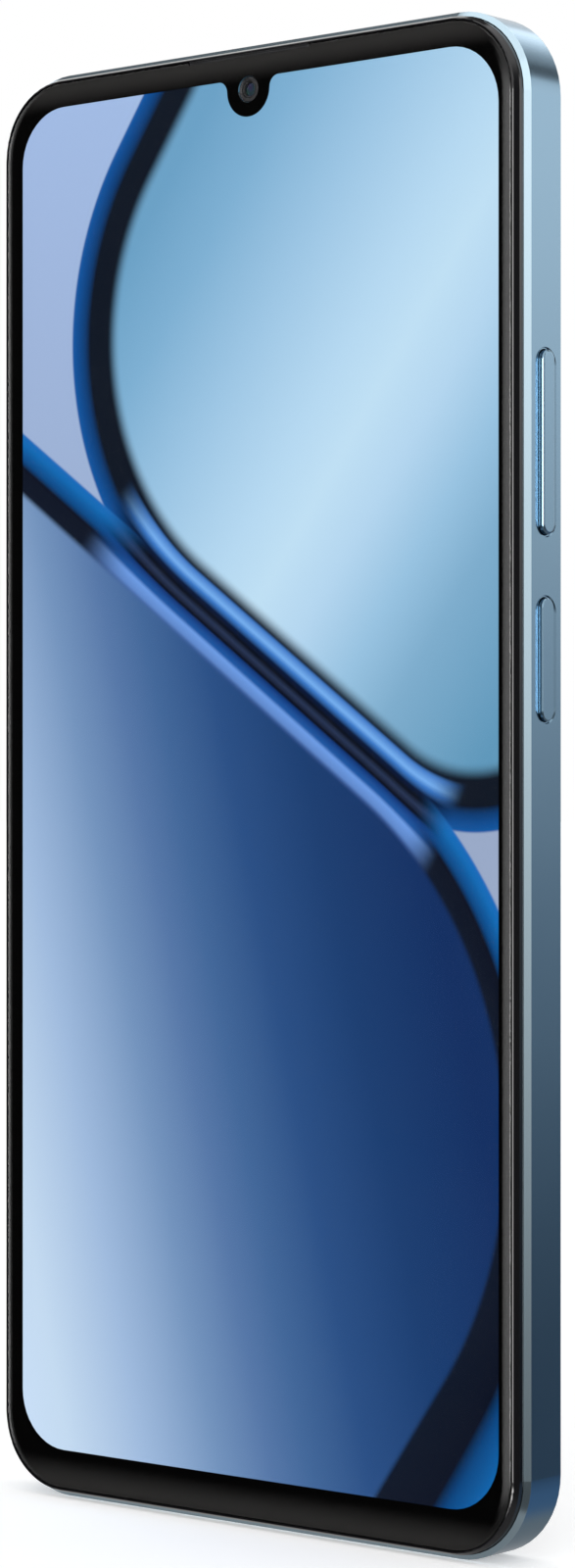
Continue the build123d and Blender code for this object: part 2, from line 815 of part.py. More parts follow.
with BuildPart() as sub_board:
    block(
        (-board_x, sub_board_right), (board_y, board_back_y),
        (sub_board_low + sub_board_step, sub_board_top),
    )
    block(
        (-board_x + 4.5, sub_board_right), (board_y, board_back_y),
        (sub_board_low, sub_board_low + sub_board_step),
    )
    block((sub_board_right, main_board_right), (board_y, board_back_y), (arm_low, sub_board_top))
    block((-port_cut, port_cut), board_cut_y, (0, port_length + 0.6), mode=Mode.SUBTRACT)
    block(
        (jack_x - jack_cut, jack_x + jack_cut), board_cut_y, (0, floor_z + 0.15 + jack_length),
        mode=Mode.SUBTRACT,
    )
    post(motor_x, motor_z, motor_radius + motor_play, *board_cut_y, mode=Mode.SUBTRACT)
    screw_holes(sub_screws, screw_clear, *board_cut_y)
    within_walls(board_gap)
sub_board.part.label = "sub_board"

front_shield_x = (reader_left + 10.0, 10.5)
front_shield_z = (main_board_bottom + 7.5, main_board_top - 8.0)
shield_wall = 0.15
chip_size = 13.0
second_chip = (11.5, 0.7)
chip_spacing = 2.5
rear_chips = [(6.5, 3.0, 6.0, 0.8), (5.5, 12.0, 5.0, 0.9)]  # width, place, height, thickness
front_shield_y = plate_back_y + 0.15
rear_shield_x = (reader_right + 1.0, island_x - main_camera_size / 2 - 1.6)
rear_shield_z = (main_board_bottom + 6.0, main_board_top - 8.0)
rear_shield_y = board_back_y + 1.3
with BuildPart() as board_shields:
    block(front_shield_x, (front_shield_y, board_y), front_shield_z)
    block(
        (front_shield_x[0] + shield_wall, front_shield_x[1] - shield_wall),
        (front_shield_y + shield_wall, board_y),
        (front_shield_z[0] + shield_wall, front_shield_z[1] - shield_wall),
        mode=Mode.SUBTRACT,
    )
    block(rear_shield_x, (board_back_y, rear_shield_y), rear_shield_z)
    block(
        (rear_shield_x[0] + shield_wall, rear_shield_x[1] - shield_wall),
        (board_back_y, rear_shield_y - shield_wall),
        (rear_shield_z[0] + shield_wall, rear_shield_z[1] - shield_wall),
        mode=Mode.SUBTRACT,
    )
board_shields.part.label = "board_shields"

chip_x = front_shield_x[0] + chip_spacing
chip_z = (front_shield_z[0] + 3.0, front_shield_z[0] + 3.0 + chip_size)
second_chip_x = chip_x + chip_size + chip_spacing
rear_chip_x = rear_shield_x[0] + chip_spacing
with BuildPart() as board_chips:
    block((chip_x, chip_x + chip_size), (front_shield_y + shield_wall, board_y), chip_z)
    block(
        (second_chip_x, second_chip_x + second_chip[0]), (board_y - second_chip[1], board_y),
        chip_z,
    )
    for width, place, height, thickness in rear_chips:
        block(
            (rear_chip_x, rear_chip_x + width), (board_back_y, board_back_y + thickness),
            (rear_shield_z[0] + place, rear_shield_z[0] + place + height),
        )
board_chips.part.label = "board_chips"

with BuildPart() as thermal_pad:
    block((chip_x, chip_x + chip_size), (plate_back_y, front_shield_y), chip_z)
thermal_pad.part.label = "thermal_pad"

connector_height = 0.3
connector_y = board_back_y + connector_height
connector_length = 7.0
connector_margin = 0.4
main_flex_x = (-board_x + 0.4, -board_x + 3.2)
main_flex_z = (sub_board_top - 11.0, main_board_bottom + 8.0)
battery_tab_x = (-5.0, 3.0)
with BuildPart() as board_connectors:
    for low in (main_flex_z[0], main_flex_z[1] - connector_length):
        block(
            (main_flex_x[0] + connector_margin, main_flex_x[1] - connector_margin),
            (board_back_y, connector_y), (low, low + connector_length),
        )
    block(
        (battery_tab_x[0] + 1, battery_tab_x[1] - 1), (board_back_y, connector_y),
        (main_board_bottom + 1.5, main_board_bottom + 4.5),
    )
    block((flex_x[0] + 0.5, flex_x[1] - 0.5), (flex_back_y, board_y), (flex_end - 3.5, flex_end))
board_connectors.part.label = "board_connectors"

with BuildPart() as main_flex:
    block(main_flex_x, (connector_y, connector_y + flex_thickness), main_flex_z)
main_flex.part.label = "main_flex"

cable_x = main_board_right - 1.1
cable_y = board_back_y + 1.0
cable_low, cable_high = sub_board_top - 3.0, main_board_bottom + 2.5
cable_radius = 0.4
cable_plug_radius = 1.0
with BuildPart() as antenna_cable:
    edge_post(cable_x, cable_y, cable_radius, cable_low, cable_high)
    for end in (cable_low, cable_high):
        post(cable_x, end, cable_plug_radius, board_back_y, cable_y + 0.3)
antenna_cable.part.label = "antenna_cable"

# ==== Battery ===================================================================================
battery_z = (sub_board_top + battery_height_gap, main_board_bottom - battery_height_gap)
battery_back_y = cover_y - battery_clearance
battery_half = battery_width / 2
battery_y = plate_back_y + 0.1
strip_half = 8.0
cell_board_z = battery_z[1] + 1.6
with BuildPart() as battery:
    rounded_block((-battery_half, battery_half), (battery_y, battery_back_y), battery_z, 1.5)
    fillet(battery.edges().group_by(Axis.Y)[-1], 0.5)
battery.part.label = "battery"

with BuildPart() as battery_adhesive:
    for side in (-1, 1):
        strip = side * battery_half / 2
        block(
            (strip - strip_half, strip + strip_half), (plate_back_y, battery_y),
            (battery_z[0] + 5, battery_z[1] - 5),
        )
battery_adhesive.part.label = "battery_adhesive"

with BuildPart() as battery_flex:
    block(
        (-battery_half + 5, battery_half - 5), (board_y, board_back_y + 0.8),
        (battery_z[1], cell_board_z),
    )
    block(
        battery_tab_x, (connector_y, connector_y + flex_thickness),
        (cell_board_z, main_board_bottom + 5.0),
    )
battery_flex.part.label = "battery_flex"

# ==== Bottom edge ===============================================================================
port_mouth_z = 0.3
port_floor_z = port_length - 0.4
port_foot = 0.9
with BuildPart() as charging_port:
    edge_slot(0, slot_y, port_width, port_height, port_mouth_z, port_length)
    for side in (-1, 1):
        block(
            (side * port_cut - port_foot, side * port_cut + port_foot),
            (board_back_y, board_back_y + 0.25), (sub_board_low + 0.6, port_length - 0.8),
        )
    edge_slot(
        0, slot_y, port_width - 2 * port_wall, port_height - 2 * port_wall, -through,
        port_floor_z, mode=Mode.SUBTRACT,
    )
charging_port.part.label = "charging_port"

with BuildPart() as port_tongue:
    block(
        (-tongue_width / 2, tongue_width / 2),
        (slot_y - tongue_thickness / 2, slot_y + tongue_thickness / 2), (1.2, port_floor_z),
    )
    front_edges = port_tongue.edges().group_by(Axis.Z)[0]
    fillet(front_edges, 0.2)
port_tongue.part.label = "port_tongue"

with BuildPart() as audio_jack:
    block(
        (jack_x - jack_half, jack_x + jack_half), (plate_back_y + fit, cover_y - fit),
        (floor_z + fit, floor_z + fit + jack_length),
    )
    edge_post(jack_x, slot_y, jack_radius, 0, jack_depth, mode=Mode.SUBTRACT)
audio_jack.part.label = "audio_jack"

speaker_x = (speaker_left, board_x - speaker_right_gap)
speaker_z = (floor_z + speaker_lift, floor_z + speaker_lift + speaker_height)
speaker_back_y = inner_cover_y - speaker_seat
with BuildPart() as loudspeaker:
    rounded_block(speaker_x, (flange_back_y + 0.1, speaker_back_y), speaker_z, 2.0)
    rounded_block(
        (speaker_x[0] + speaker_rim - 0.5, speaker_x[1] - speaker_rim + 0.5),
        (speaker_back_y - speaker_dish, speaker_back_y + through),
        (speaker_z[0] + speaker_rim + 2.0, speaker_z[1] - speaker_rim + 1.0), 3.0,
        mode=Mode.SUBTRACT,
    )
    within_walls(board_gap)
loudspeaker.part.label = "loudspeaker"

grille_end = 1.6
grille_x = (hole_left - grille_end, hole_left + (sound_holes - 1) * sound_pitch + grille_end)
mesh_back_z = floor_z + mesh_thickness
with BuildPart() as speaker_mesh:
    block(grille_x, (slot_y - 1.0, slot_y + 1.0), (floor_z, mesh_back_z))
speaker_mesh.part.label = "speaker_mesh"

port_gasket_height = cover_ledge_y - flange_back_y - fit
port_seal_gap = 0.04
sound_gasket_wall = 0.8
with BuildPart() as bottom_gaskets:
    edge_slot(0, slot_y, port_width + 1.0, port_gasket_height, floor_z, floor_z + 0.35)
    edge_slot(
        0, slot_y, port_width + port_seal_gap, port_height + port_seal_gap, floor_z - through,
        floor_z + through, mode=Mode.SUBTRACT,
    )
    block(grille_x, (slot_y - 1.1, slot_y + 1.1), (mesh_back_z, speaker_z[0]))
    block(
        (grille_x[0] + sound_gasket_wall, grille_x[1] - sound_gasket_wall),
        (slot_y - 0.7, slot_y + 0.7), (floor_z, speaker_z[0] + fit), mode=Mode.SUBTRACT,
    )
bottom_gaskets.part.label = "bottom_gaskets"

microphone_half = 1.6
microphone_size = (1.0, 2.4)
with BuildPart() as microphones:
    for x, low in (
        (microphone_x, sub_board_low), (top_microphone_x, main_board_top - microphone_size[1])
    ):
        block(
            (x - microphone_half, x + microphone_half),
            (board_back_y, board_back_y + microphone_size[0]), (low, low + microphone_size[1]),
        )
microphones.part.label = "microphones"

# ==== Vibration motor ===========================================================================
motor_y = plate_back_y + fit
motor_back_y = motor_y + motor_height
with BuildPart() as motor_cup:
    post(motor_x, motor_z, motor_radius, motor_y, motor_back_y - motor_wall)
    post(
        motor_x, motor_z, motor_radius - motor_wall, motor_y + motor_wall, motor_back_y,
        mode=Mode.SUBTRACT,
    )
    post(motor_x, motor_z, shaft_radius, motor_y, motor_back_y - motor_wall)
motor_cup.part.label = "motor_cup"

with BuildPart() as motor_lid:
    post(motor_x, motor_z, motor_radius, motor_back_y - motor_wall, motor_back_y)
motor_lid.part.label = "motor_lid"

rotor_y = (motor_y + motor_wall + rotor_gap, motor_back_y - motor_wall - rotor_gap)
with BuildPart() as motor_rotor:
    post(motor_x, motor_z, motor_radius - motor_wall - rotor_gap, rotor_y[0], rotor_y[1])
    block(
        (motor_x - motor_radius, motor_x + motor_radius),
        (rotor_y[0] - through, rotor_y[1] + through),
        (motor_z + rotor_flat, motor_z + motor_radius), mode=Mode.SUBTRACT,
    )
    post(
        motor_x, motor_z, shaft_radius + running_gap, rotor_y[0] - through, rotor_y[1] + through,
        mode=Mode.SUBTRACT,
    )
motor_rotor.part.label = "motor_rotor"

# ==== Earpiece and front camera =================================================================
receiver_x = (-15.4, -front_camera_size / 2 - 0.6)
receiver_y = (flange_back_y + 0.05, board_back_y + 1.2)
with BuildPart() as receiver_speaker:
    rounded_block(receiver_x, receiver_y, (front_body_low, front_body_high), 0.8)
receiver_speaker.part.label = "receiver_speaker"

mesh_y = panel_y + fit
with BuildPart() as receiver_mesh:
    block(
        (-slit_half + fit, slit_half - fit), (mesh_y, mesh_y + mesh_thickness),
        (slit_z - slit_mesh_drop, slit_roof),
    )
receiver_mesh.part.label = "receiver_mesh"

front_body_y = flange_back_y + 0.15
front_lens_y = (panel_y + 0.5, panel_y + 0.9)
front_camera_half = front_camera_size / 2
with BuildPart() as front_camera:
    post(0, camera_z, front_barrel_radius, panel_y + 0.1, front_body_y)
    block(
        (-front_camera_half, front_camera_half), (front_body_y, board_back_y + 1.4),
        (front_body_low, front_body_high),
    )
    post(0, camera_z, front_lens_radius, panel_y, front_lens_y[1], mode=Mode.SUBTRACT)
front_camera.part.label = "front_camera"

with BuildPart() as front_camera_lens:
    post(0, camera_z, front_lens_radius, *front_lens_y)
    fillet(front_camera_lens.edges().group_by(Axis.Y)[0], 0.3)
front_camera_lens.part.label = "front_camera_lens"

sensor_low = mouth_cut_z + 0.4
with BuildPart() as light_sensor:
    block((2.5, 4.0), (panel_y + 0.4, plate_y), (sensor_low, sensor_low + 1.0))
light_sensor.part.label = "light_sensor"

# ==== Inner covers and screws ===================================================================
head_y = inner_cover_back_y - screw_head_height - screw_head_seat
cover_cut_y = (inner_cover_y - through, inner_cover_back_y + through)
with BuildPart() as upper_inner_cover:
    rounded_block(
        (-board_x, main_board_right), (inner_cover_y, inner_cover_back_y),
        (main_board_bottom + 1.0, main_board_top), board_corner,
    )
    screw_holes(main_screws, boss_radius, board_back_y, inner_cover_y, mode=Mode.ADD)
    screw_holes(main_screws, screw_radius + boss_play, board_back_y - through, cover_cut_y[1])
    screw_holes(main_screws, screw_head + boss_play, head_y, cover_cut_y[1])
    rounded_block(
        (island_x - island_width / 2 + 1.0, island_x + island_width / 2 - 1.0), cover_cut_y,
        (flash_z - 2.6, main_camera_z + main_camera_size / 2 + 0.4), 1.0, mode=Mode.SUBTRACT,
    )
    within_walls(board_gap)
upper_inner_cover.part.label = "upper_inner_cover"

with BuildPart() as lower_inner_cover:
    rounded_block(
        (-board_x + 1.5, board_x - 1.0), (inner_cover_y, inner_cover_back_y),
        (floor_z + 0.3, sub_board_top), 4.0,
    )
    screw_holes(sub_screws, boss_radius, board_back_y, inner_cover_y, mode=Mode.ADD)
    screw_holes(sub_screws, screw_radius + boss_play, board_back_y - through, cover_cut_y[1])
    screw_holes(sub_screws, screw_head + boss_play, head_y, cover_cut_y[1])
    block(
        (-port_cut - 0.6, port_cut + 0.6), cover_cut_y, (0, port_length + 0.3),
        mode=Mode.SUBTRACT,
    )
    block(
        (jack_x - jack_cut, jack_x + jack_cut), cover_cut_y, (0, floor_z + 0.2 + jack_length),
        mode=Mode.SUBTRACT,
    )
    within_walls(board_gap)
lower_inner_cover.part.label = "lower_inner_cover"

with BuildPart() as board_screws:
    for x, z in sub_screws + main_screws:
        post(x, z, screw_radius, plate_y + 0.25, head_y)
        post(x, z, screw_head, head_y, head_y + screw_head_height)
board_screws.part.label = "board_screws"

# ==== Rear cameras ==============================================================================
main_seat_y = board_back_y + 2.2
main_half = main_camera_size / 2
with BuildPart() as main_camera:
    block(
        (island_x - main_half, island_x + main_half), (plate_back_y + fit, main_seat_y),
        (main_camera_z - main_half, main_camera_z + main_half),
    )
    post(
        island_x, main_camera_z, main_barrel_radius + barrel_play, board_y,
        main_seat_y + through, mode=Mode.SUBTRACT,
    )
main_camera.part.label = "main_camera"

window_seat_y = rear_y + island_height - window_disc_thickness
barrel_back_y = window_seat_y - focus_travel - focus_gap
with BuildPart() as main_camera_lens:
    post(island_x, main_camera_z, main_barrel_radius, board_y + barrel_gap, barrel_back_y)
    post(
        island_x, main_camera_z, main_barrel_radius - main_barrel_wall,
        barrel_back_y - lens_well, window_seat_y, mode=Mode.SUBTRACT,
    )
main_camera_lens.part.label = "main_camera_lens"

second_half = second_camera_size / 2
second_seat_y = board_back_y + 1.2
second_back_y = window_seat_y - 0.3
with BuildPart() as second_camera:
    block(
        (island_x - second_half, island_x + second_half), (plate_back_y + fit, second_seat_y),
        (second_camera_z - second_half, second_camera_z + second_half),
    )
    post(island_x, second_camera_z, second_barrel_radius, second_seat_y, second_back_y)
    post(
        island_x, second_camera_z, second_barrel_radius - second_barrel_wall,
        second_back_y - 0.5, window_seat_y, mode=Mode.SUBTRACT,
    )
second_camera.part.label = "second_camera"

led_half = flash_led_size / 2
with BuildPart() as flash_led:
    block(
        (island_x - led_half, island_x + led_half), (board_back_y, cover_y),
        (flash_z - led_half, flash_z + led_half),
    )
flash_led.part.label = "flash_led"

island_left, island_right = island_x - island_width / 2, island_x + island_width / 2
island_low, island_high = island_z - island_length / 2, island_z + island_length / 2
island_y = rear_y + island_height
neck_x = (island_left + neck_inset, island_right - neck_inset)
neck_z = (island_low + neck_inset, island_high - neck_inset)
neck_radius = island_radius - neck_inset
with BuildPart() as rear_cover:
    layer(cover_inset, cover_y, rear_y)
    fillet(rear_cover.edges().group_by(Axis.Y)[-1], cover_edge_round)
    rounded_block(
        (neck_x[0] - fit, neck_x[1] + fit), (cover_y - through, rear_y + through),
        (neck_z[0] - fit, neck_z[1] + fit), neck_radius + fit, mode=Mode.SUBTRACT,
    )
rear_cover.part.label = "rear_cover"

with BuildPart() as cover_adhesive:
    ring(cover_inset, frame_wall - 0.1, cover_ledge_y, cover_y)
cover_adhesive.part.label = "cover_adhesive"

window_hole = window_disc + fit
flash_seat_y = rear_y + flash_seat
with BuildPart() as camera_frame:
    rounded_block(
        (island_left, island_right), (rear_y, island_y), (island_low, island_high), island_radius
    )
    fillet(camera_frame.edges().group_by(Axis.Y)[-1], island_round)
    rounded_block(neck_x, (cover_y, rear_y), neck_z, neck_radius)
    for z in (main_camera_z, second_camera_z):
        post(island_x, z, window_hole, window_seat_y, island_y + through, mode=Mode.SUBTRACT)
        post(
            island_x, z, window_disc - window_ledge, cover_y - through, island_y,
            mode=Mode.SUBTRACT,
        )
    post(
        island_x, flash_z, flash_radius + fit, flash_seat_y, island_y + through,
        mode=Mode.SUBTRACT,
    )
    post(
        island_x, flash_z, flash_radius - flash_ledge, cover_y - through, island_y,
        mode=Mode.SUBTRACT,
    )
camera_frame.part.label = "camera_frame"

with BuildPart() as lens_rings:
    for z in (main_camera_z, second_camera_z):
        post(island_x, z, ring_outer, island_y, island_y + ring_height)
        post(island_x, z, window_hole, rear_y, island_y + through, mode=Mode.SUBTRACT)
lens_rings.part.label = "lens_rings"

with BuildPart() as camera_windows:
    for z in (main_camera_z, second_camera_z):
        post(island_x, z, window_disc, window_seat_y, island_y + window_standout)
camera_windows.part.label = "camera_windows"

with BuildPart() as flash_window:
    post(island_x, flash_z, flash_radius, flash_seat_y, island_y)
flash_window.part.label = "flash_window"

with BuildPart() as graphite_sheet:
    rounded_block(
        (-battery_half + 3, battery_half - 3), (cover_y - 0.08, cover_y),
        (battery_z[0] + 4, neck_z[0] - 2), 2.0,
    )
graphite_sheet.part.label = "graphite_sheet"

pieces = [
    cover_glass, border_film, optical_adhesive, display_panel, backlight_unit, display_driver,
    display_flex, display_adhesive, front_bezel, mid_plate, side_frame, volume_rocker, power_key,
    fingerprint_sensor, key_bracket, key_flex, key_domes, sim_tray, tray_gasket, card_reader,
    main_board, sub_board, board_shields, board_chips, thermal_pad,
    board_connectors, main_flex, antenna_cable, battery, battery_adhesive, battery_flex,
    charging_port, port_tongue, audio_jack, loudspeaker, speaker_mesh, bottom_gaskets,
    microphones, motor_cup, motor_lid, motor_rotor, receiver_speaker, receiver_mesh, front_camera,
    front_camera_lens, light_sensor, upper_inner_cover, lower_inner_cover, board_screws,
    main_camera, main_camera_lens, second_camera, flash_led, rear_cover, cover_adhesive,
    camera_frame, lens_rings, camera_windows, flash_window, graphite_sheet,
]
for piece in pieces:
    export_step(piece.part, f"parts/{piece.part.label}.step")
print(len(pieces), "pieces written")
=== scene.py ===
"""A smartphone on a pale studio floor, dressed round its CAD frame."""
import math

import bpy
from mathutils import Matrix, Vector


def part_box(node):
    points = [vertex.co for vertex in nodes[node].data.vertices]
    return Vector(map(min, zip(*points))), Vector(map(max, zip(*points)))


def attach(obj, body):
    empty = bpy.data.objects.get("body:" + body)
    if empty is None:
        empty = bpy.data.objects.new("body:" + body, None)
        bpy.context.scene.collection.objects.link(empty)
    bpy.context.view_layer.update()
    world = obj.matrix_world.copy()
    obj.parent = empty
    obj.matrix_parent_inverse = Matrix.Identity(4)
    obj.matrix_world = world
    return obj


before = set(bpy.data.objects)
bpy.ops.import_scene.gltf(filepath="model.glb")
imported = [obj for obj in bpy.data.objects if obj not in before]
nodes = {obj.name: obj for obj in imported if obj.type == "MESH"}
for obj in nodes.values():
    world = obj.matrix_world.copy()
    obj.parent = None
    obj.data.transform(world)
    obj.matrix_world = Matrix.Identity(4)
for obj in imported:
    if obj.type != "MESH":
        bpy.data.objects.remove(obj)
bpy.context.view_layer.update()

MM = 0.001
PER_MM = 1000.0


# ---- Places and sizes, in millimetres, read from the frame ---------------------------------------
def low(node, axis):
    """The lowest x, y or z of a CAD node, in millimetres."""
    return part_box(node)[0]["xyz".index(axis)] / MM


def high(node, axis):
    """The highest x, y or z of a CAD node, in millimetres."""
    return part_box(node)[1]["xyz".index(axis)] / MM


def middle(node, axis):
    """The middle of a CAD node along one axis, in millimetres."""
    return (low(node, axis) + high(node, axis)) / 2


body_top = high("side_frame", "z")
frame_front = low("side_frame", "y")
notch_z = middle("front_camera_lens", "z")
picture_low = 4.8


# ---- Shader maths --------------------------------------------------------------------------------
class Wire:
    """One output of a shader node. Arithmetic on it adds Math nodes."""

    def __init__(self, finish, socket):
        self.finish = finish
        self.socket = socket

    def __add__(self, other):
        return self.finish.math("ADD", self, other)

    def __sub__(self, other):
        return self.finish.math("SUBTRACT", self, other)

    def __rsub__(self, other):
        return self.finish.math("SUBTRACT", other, self)

    def __mul__(self, other):
        return self.finish.math("MULTIPLY", self, other)

    def __truediv__(self, other):
        return self.finish.math("DIVIDE", self, other)

    __radd__ = __add__
    __rmul__ = __mul__


class Finish:
    """The node tree of one material or world, with short names for the nodes that it uses."""

    def __init__(self, owner):
        owner.use_nodes = True
        self.owner = owner
        self.tree = owner.node_tree
        self.tree.nodes.clear()

    def node(self, kind, settings=None, inputs=None, output=0):
        """Adds a node with its settings, fills its sockets by name or number, gives an output."""
        node = self.tree.nodes.new(kind)
        for key, value in (settings or {}).items():
            if key == "stops":
                self.set_stops(node.color_ramp, value)
            else:
                setattr(node, key, value)
        for key, value in (inputs or {}).items():
            self.plug(node.inputs[key], value)
        return Wire(self, node.outputs[output])

    def plug(self, socket, value):
        """Links a wire to a socket, or sets the socket's own value."""
        if isinstance(value, Wire):
            self.tree.links.new(value.socket, socket)
        elif isinstance(value, tuple) and socket.type == "RGBA":
            socket.default_value = value + (1.0,)
        else:
            socket.default_value = value

    def set_stops(self, ramp, stops):
        """Gives a colour ramp its stops, each a place and a colour or a grey."""
        while len(ramp.elements) < len(stops):
            ramp.elements.new(0.5)
        for element, (place, colour) in zip(ramp.elements, stops):
            element.position = place
            grey = not isinstance(colour, tuple)
            element.color = (colour,) * 3 + (1.0,) if grey else colour + (1.0,)

    def math(self, operation, *values):
        return self.node("ShaderNodeMath", {"operation": operation}, dict(enumerate(values)))

    def size(self, value):
        """The value without its sign."""
        return self.math("ABSOLUTE", value)

    def most(self, first, second):
        return self.math("MAXIMUM", first, second)

    def least(self, first, second):
        return self.math("MINIMUM", first, second)

    def length(self, across, up):
        """How far a point lies from the origin."""
        return self.math("SQRT", across * across + up * up)

    def fold(self, value, pitch):
        """The distance to the nearest whole number of pitches."""
        return self.math("PINGPONG", value, pitch / 2)

    def stripes(self, value, pitch, width):
        """A mask of even stripes, each width wide and a pitch apart, with soft edges."""
        soft = width * 0.12
        return self.step(self.fold(value, pitch), width / 2 + soft, width / 2 - soft)

    def place(self):
        """The object coordinates in millimetres, as three wires."""
        where = self.node("ShaderNodeTexCoord", output="Object")
        split = self.node("ShaderNodeSeparateXYZ", inputs={0: where})
        outputs = split.socket.node.outputs
        return [Wire(self, outputs[axis]) * PER_MM for axis in "XYZ"]

    def noise(self, size, detail=2.0, roughness=0.5, stretch=(1.0, 1.0, 1.0)):
        """Noise whose features are about size millimetres wide, longer along a stretched axis."""
        where = self.node("ShaderNodeTexCoord", output="Object")
        scale = tuple(PER_MM / size / s for s in stretch)
        place = self.node("ShaderNodeMapping", inputs={"Vector": where, "Scale": scale})
        inputs = {"Vector": place, "Scale": 1.0, "Detail": detail, "Roughness": roughness}
        return self.node("ShaderNodeTexNoise", inputs=inputs)

    def step(self, value, start, end, rise=1.0):
        """Rises smoothly from 0 to rise while value goes from start to end."""
        settings = {"interpolation_type": "SMOOTHSTEP"}
        if start > end:
            return self.step(value, end, start, 1.0) * -rise + rise
        inputs = {"Value": value, "From Min": start, "From Max": end, "To Max": rise}
        return self.node("ShaderNodeMapRange", settings, inputs)

    def ramp(self, value, stops):
        return self.node("ShaderNodeValToRGB", {"stops": stops}, {0: value})

    def mix(self, amount, first, second):
        """A colour that goes from first to second as amount goes from 0 to 1."""
        inputs = {0: amount, 6: first, 7: second}
        return self.node("ShaderNodeMix", {"data_type": "RGBA"}, inputs, output=2)

    def bump(self, height, depth):
        """Turns a height from 0 to 1 into a normal, for relief that is depth millimetres deep."""
        inputs = {"Height": height, "Distance": depth * MM, "Strength": 1.0}
        return self.node("ShaderNodeBump", inputs=inputs)

    def principled(self, **inputs):
        """The main shader. Sockets are given in lower case, with _ for a space."""
        named = {
            key.replace("_", " ").title().replace("Ior", "IOR"): value
            for key, value in inputs.items()
        }
        return self.node("ShaderNodeBsdfPrincipled", inputs=named)

    def blend_shaders(self, amount, first, second):
        return self.node("ShaderNodeMixShader", inputs={0: amount, 1: first, 2: second})

    def surface(self, shader):
        kind = "World" if isinstance(self.owner, bpy.types.World) else "Material"
        out = self.tree.nodes.new(f"ShaderNodeOutput{kind}")
        self.tree.links.new(shader.socket, out.inputs["Surface"])
        return self.owner


def material(name):
    return Finish(bpy.data.materials.new(name))


def srgb(red, green, blue):
    """A colour given as it looks on a screen, 0 to 255, in the linear form that shaders use."""
    def linear(c):
        c /= 255
        return c / 12.92 if c <= 0.04045 else ((c + 0.055) / 1.055) ** 2.4

    return tuple(linear(c) for c in (red, green, blue))


# ---- Materials: screen ---------------------------------------------------------------------------
def clear_pane(name, tint=(1.0, 1.0, 1.0), smear_size=9.0):
    """Flat glass: clear behind a gloss that grows towards grazing angles, with faint smears."""
    f = material(name)
    smear = f.step(f.noise(smear_size, detail=4.0), 0.45, 0.8) * 0.008
    gloss = f.node("ShaderNodeBsdfGlossy", inputs={"Roughness": smear})
    clear = f.node("ShaderNodeBsdfTransparent", inputs={"Color": tint})
    facing = f.node("ShaderNodeNewGeometry", output="Backfacing")
    fresnel = f.node("ShaderNodeFresnel", inputs={"IOR": 1.5})
    return f.surface(f.blend_shaders(fresnel * (1.0 - facing), clear, gloss))


def gel_layer():
    """Clear gel between the glass and the display: no gloss of its own, and a trace of grey."""
    f = material("clear_adhesive")
    cloud = f.noise(14.0, detail=2.0)
    clear = f.node("ShaderNodeBsdfTransparent", inputs={"Color": (0.995, 0.995, 1.0)})
    body = f.principled(base_color=(0.9, 0.92, 0.95), roughness=0.3, specular_ior_level=0.0)
    return f.surface(f.blend_shaders(cloud * 0.002, clear, body))


def black_print():
    """The black ink behind the glass, with a painted reflection greying its top and bottom edges.
    """
    f = material("black_print")
    z = f.place()[2]
    grain = f.noise(0.25, detail=2.0)
    # painted reflection: greyer near the top and bottom edges, standing in for the glass's glare
    top = f.step(z, body_top - 4.6, body_top - 1.6)
    bottom = f.step(z, 5.0, 1.6)
    grey = (top + bottom) * 0.022 + grain * 0.001
    colour = f.mix(grey, (0.0, 0.0, 0.0), (1.0, 0.97, 0.94))
    return f.surface(f.principled(base_color=colour, roughness=0.6, specular_ior_level=0.0))


def pebble(f, along, across, reach_along, reach_across, round_low, round_high):
    """Distance in millimetres from a long pebble with round corners: negative inside it."""
    middle_along, half_along = sum(reach_along) / 2, (reach_along[1] - reach_along[0]) / 2
    middle_across, half_across = sum(reach_across) / 2, (reach_across[1] - reach_across[0]) / 2
    radius = f.step(along, middle_along - 0.1, middle_along + 0.1, round_high - round_low)
    radius = radius + round_low
    past_end = f.size(along - middle_along) + radius - half_along
    past_side = f.size(across - middle_across) + radius - half_across
    outside = f.length(f.most(past_end, 0.0), f.most(past_side, 0.0))
    return outside + f.least(f.most(past_end, past_side), 0.0) - radius


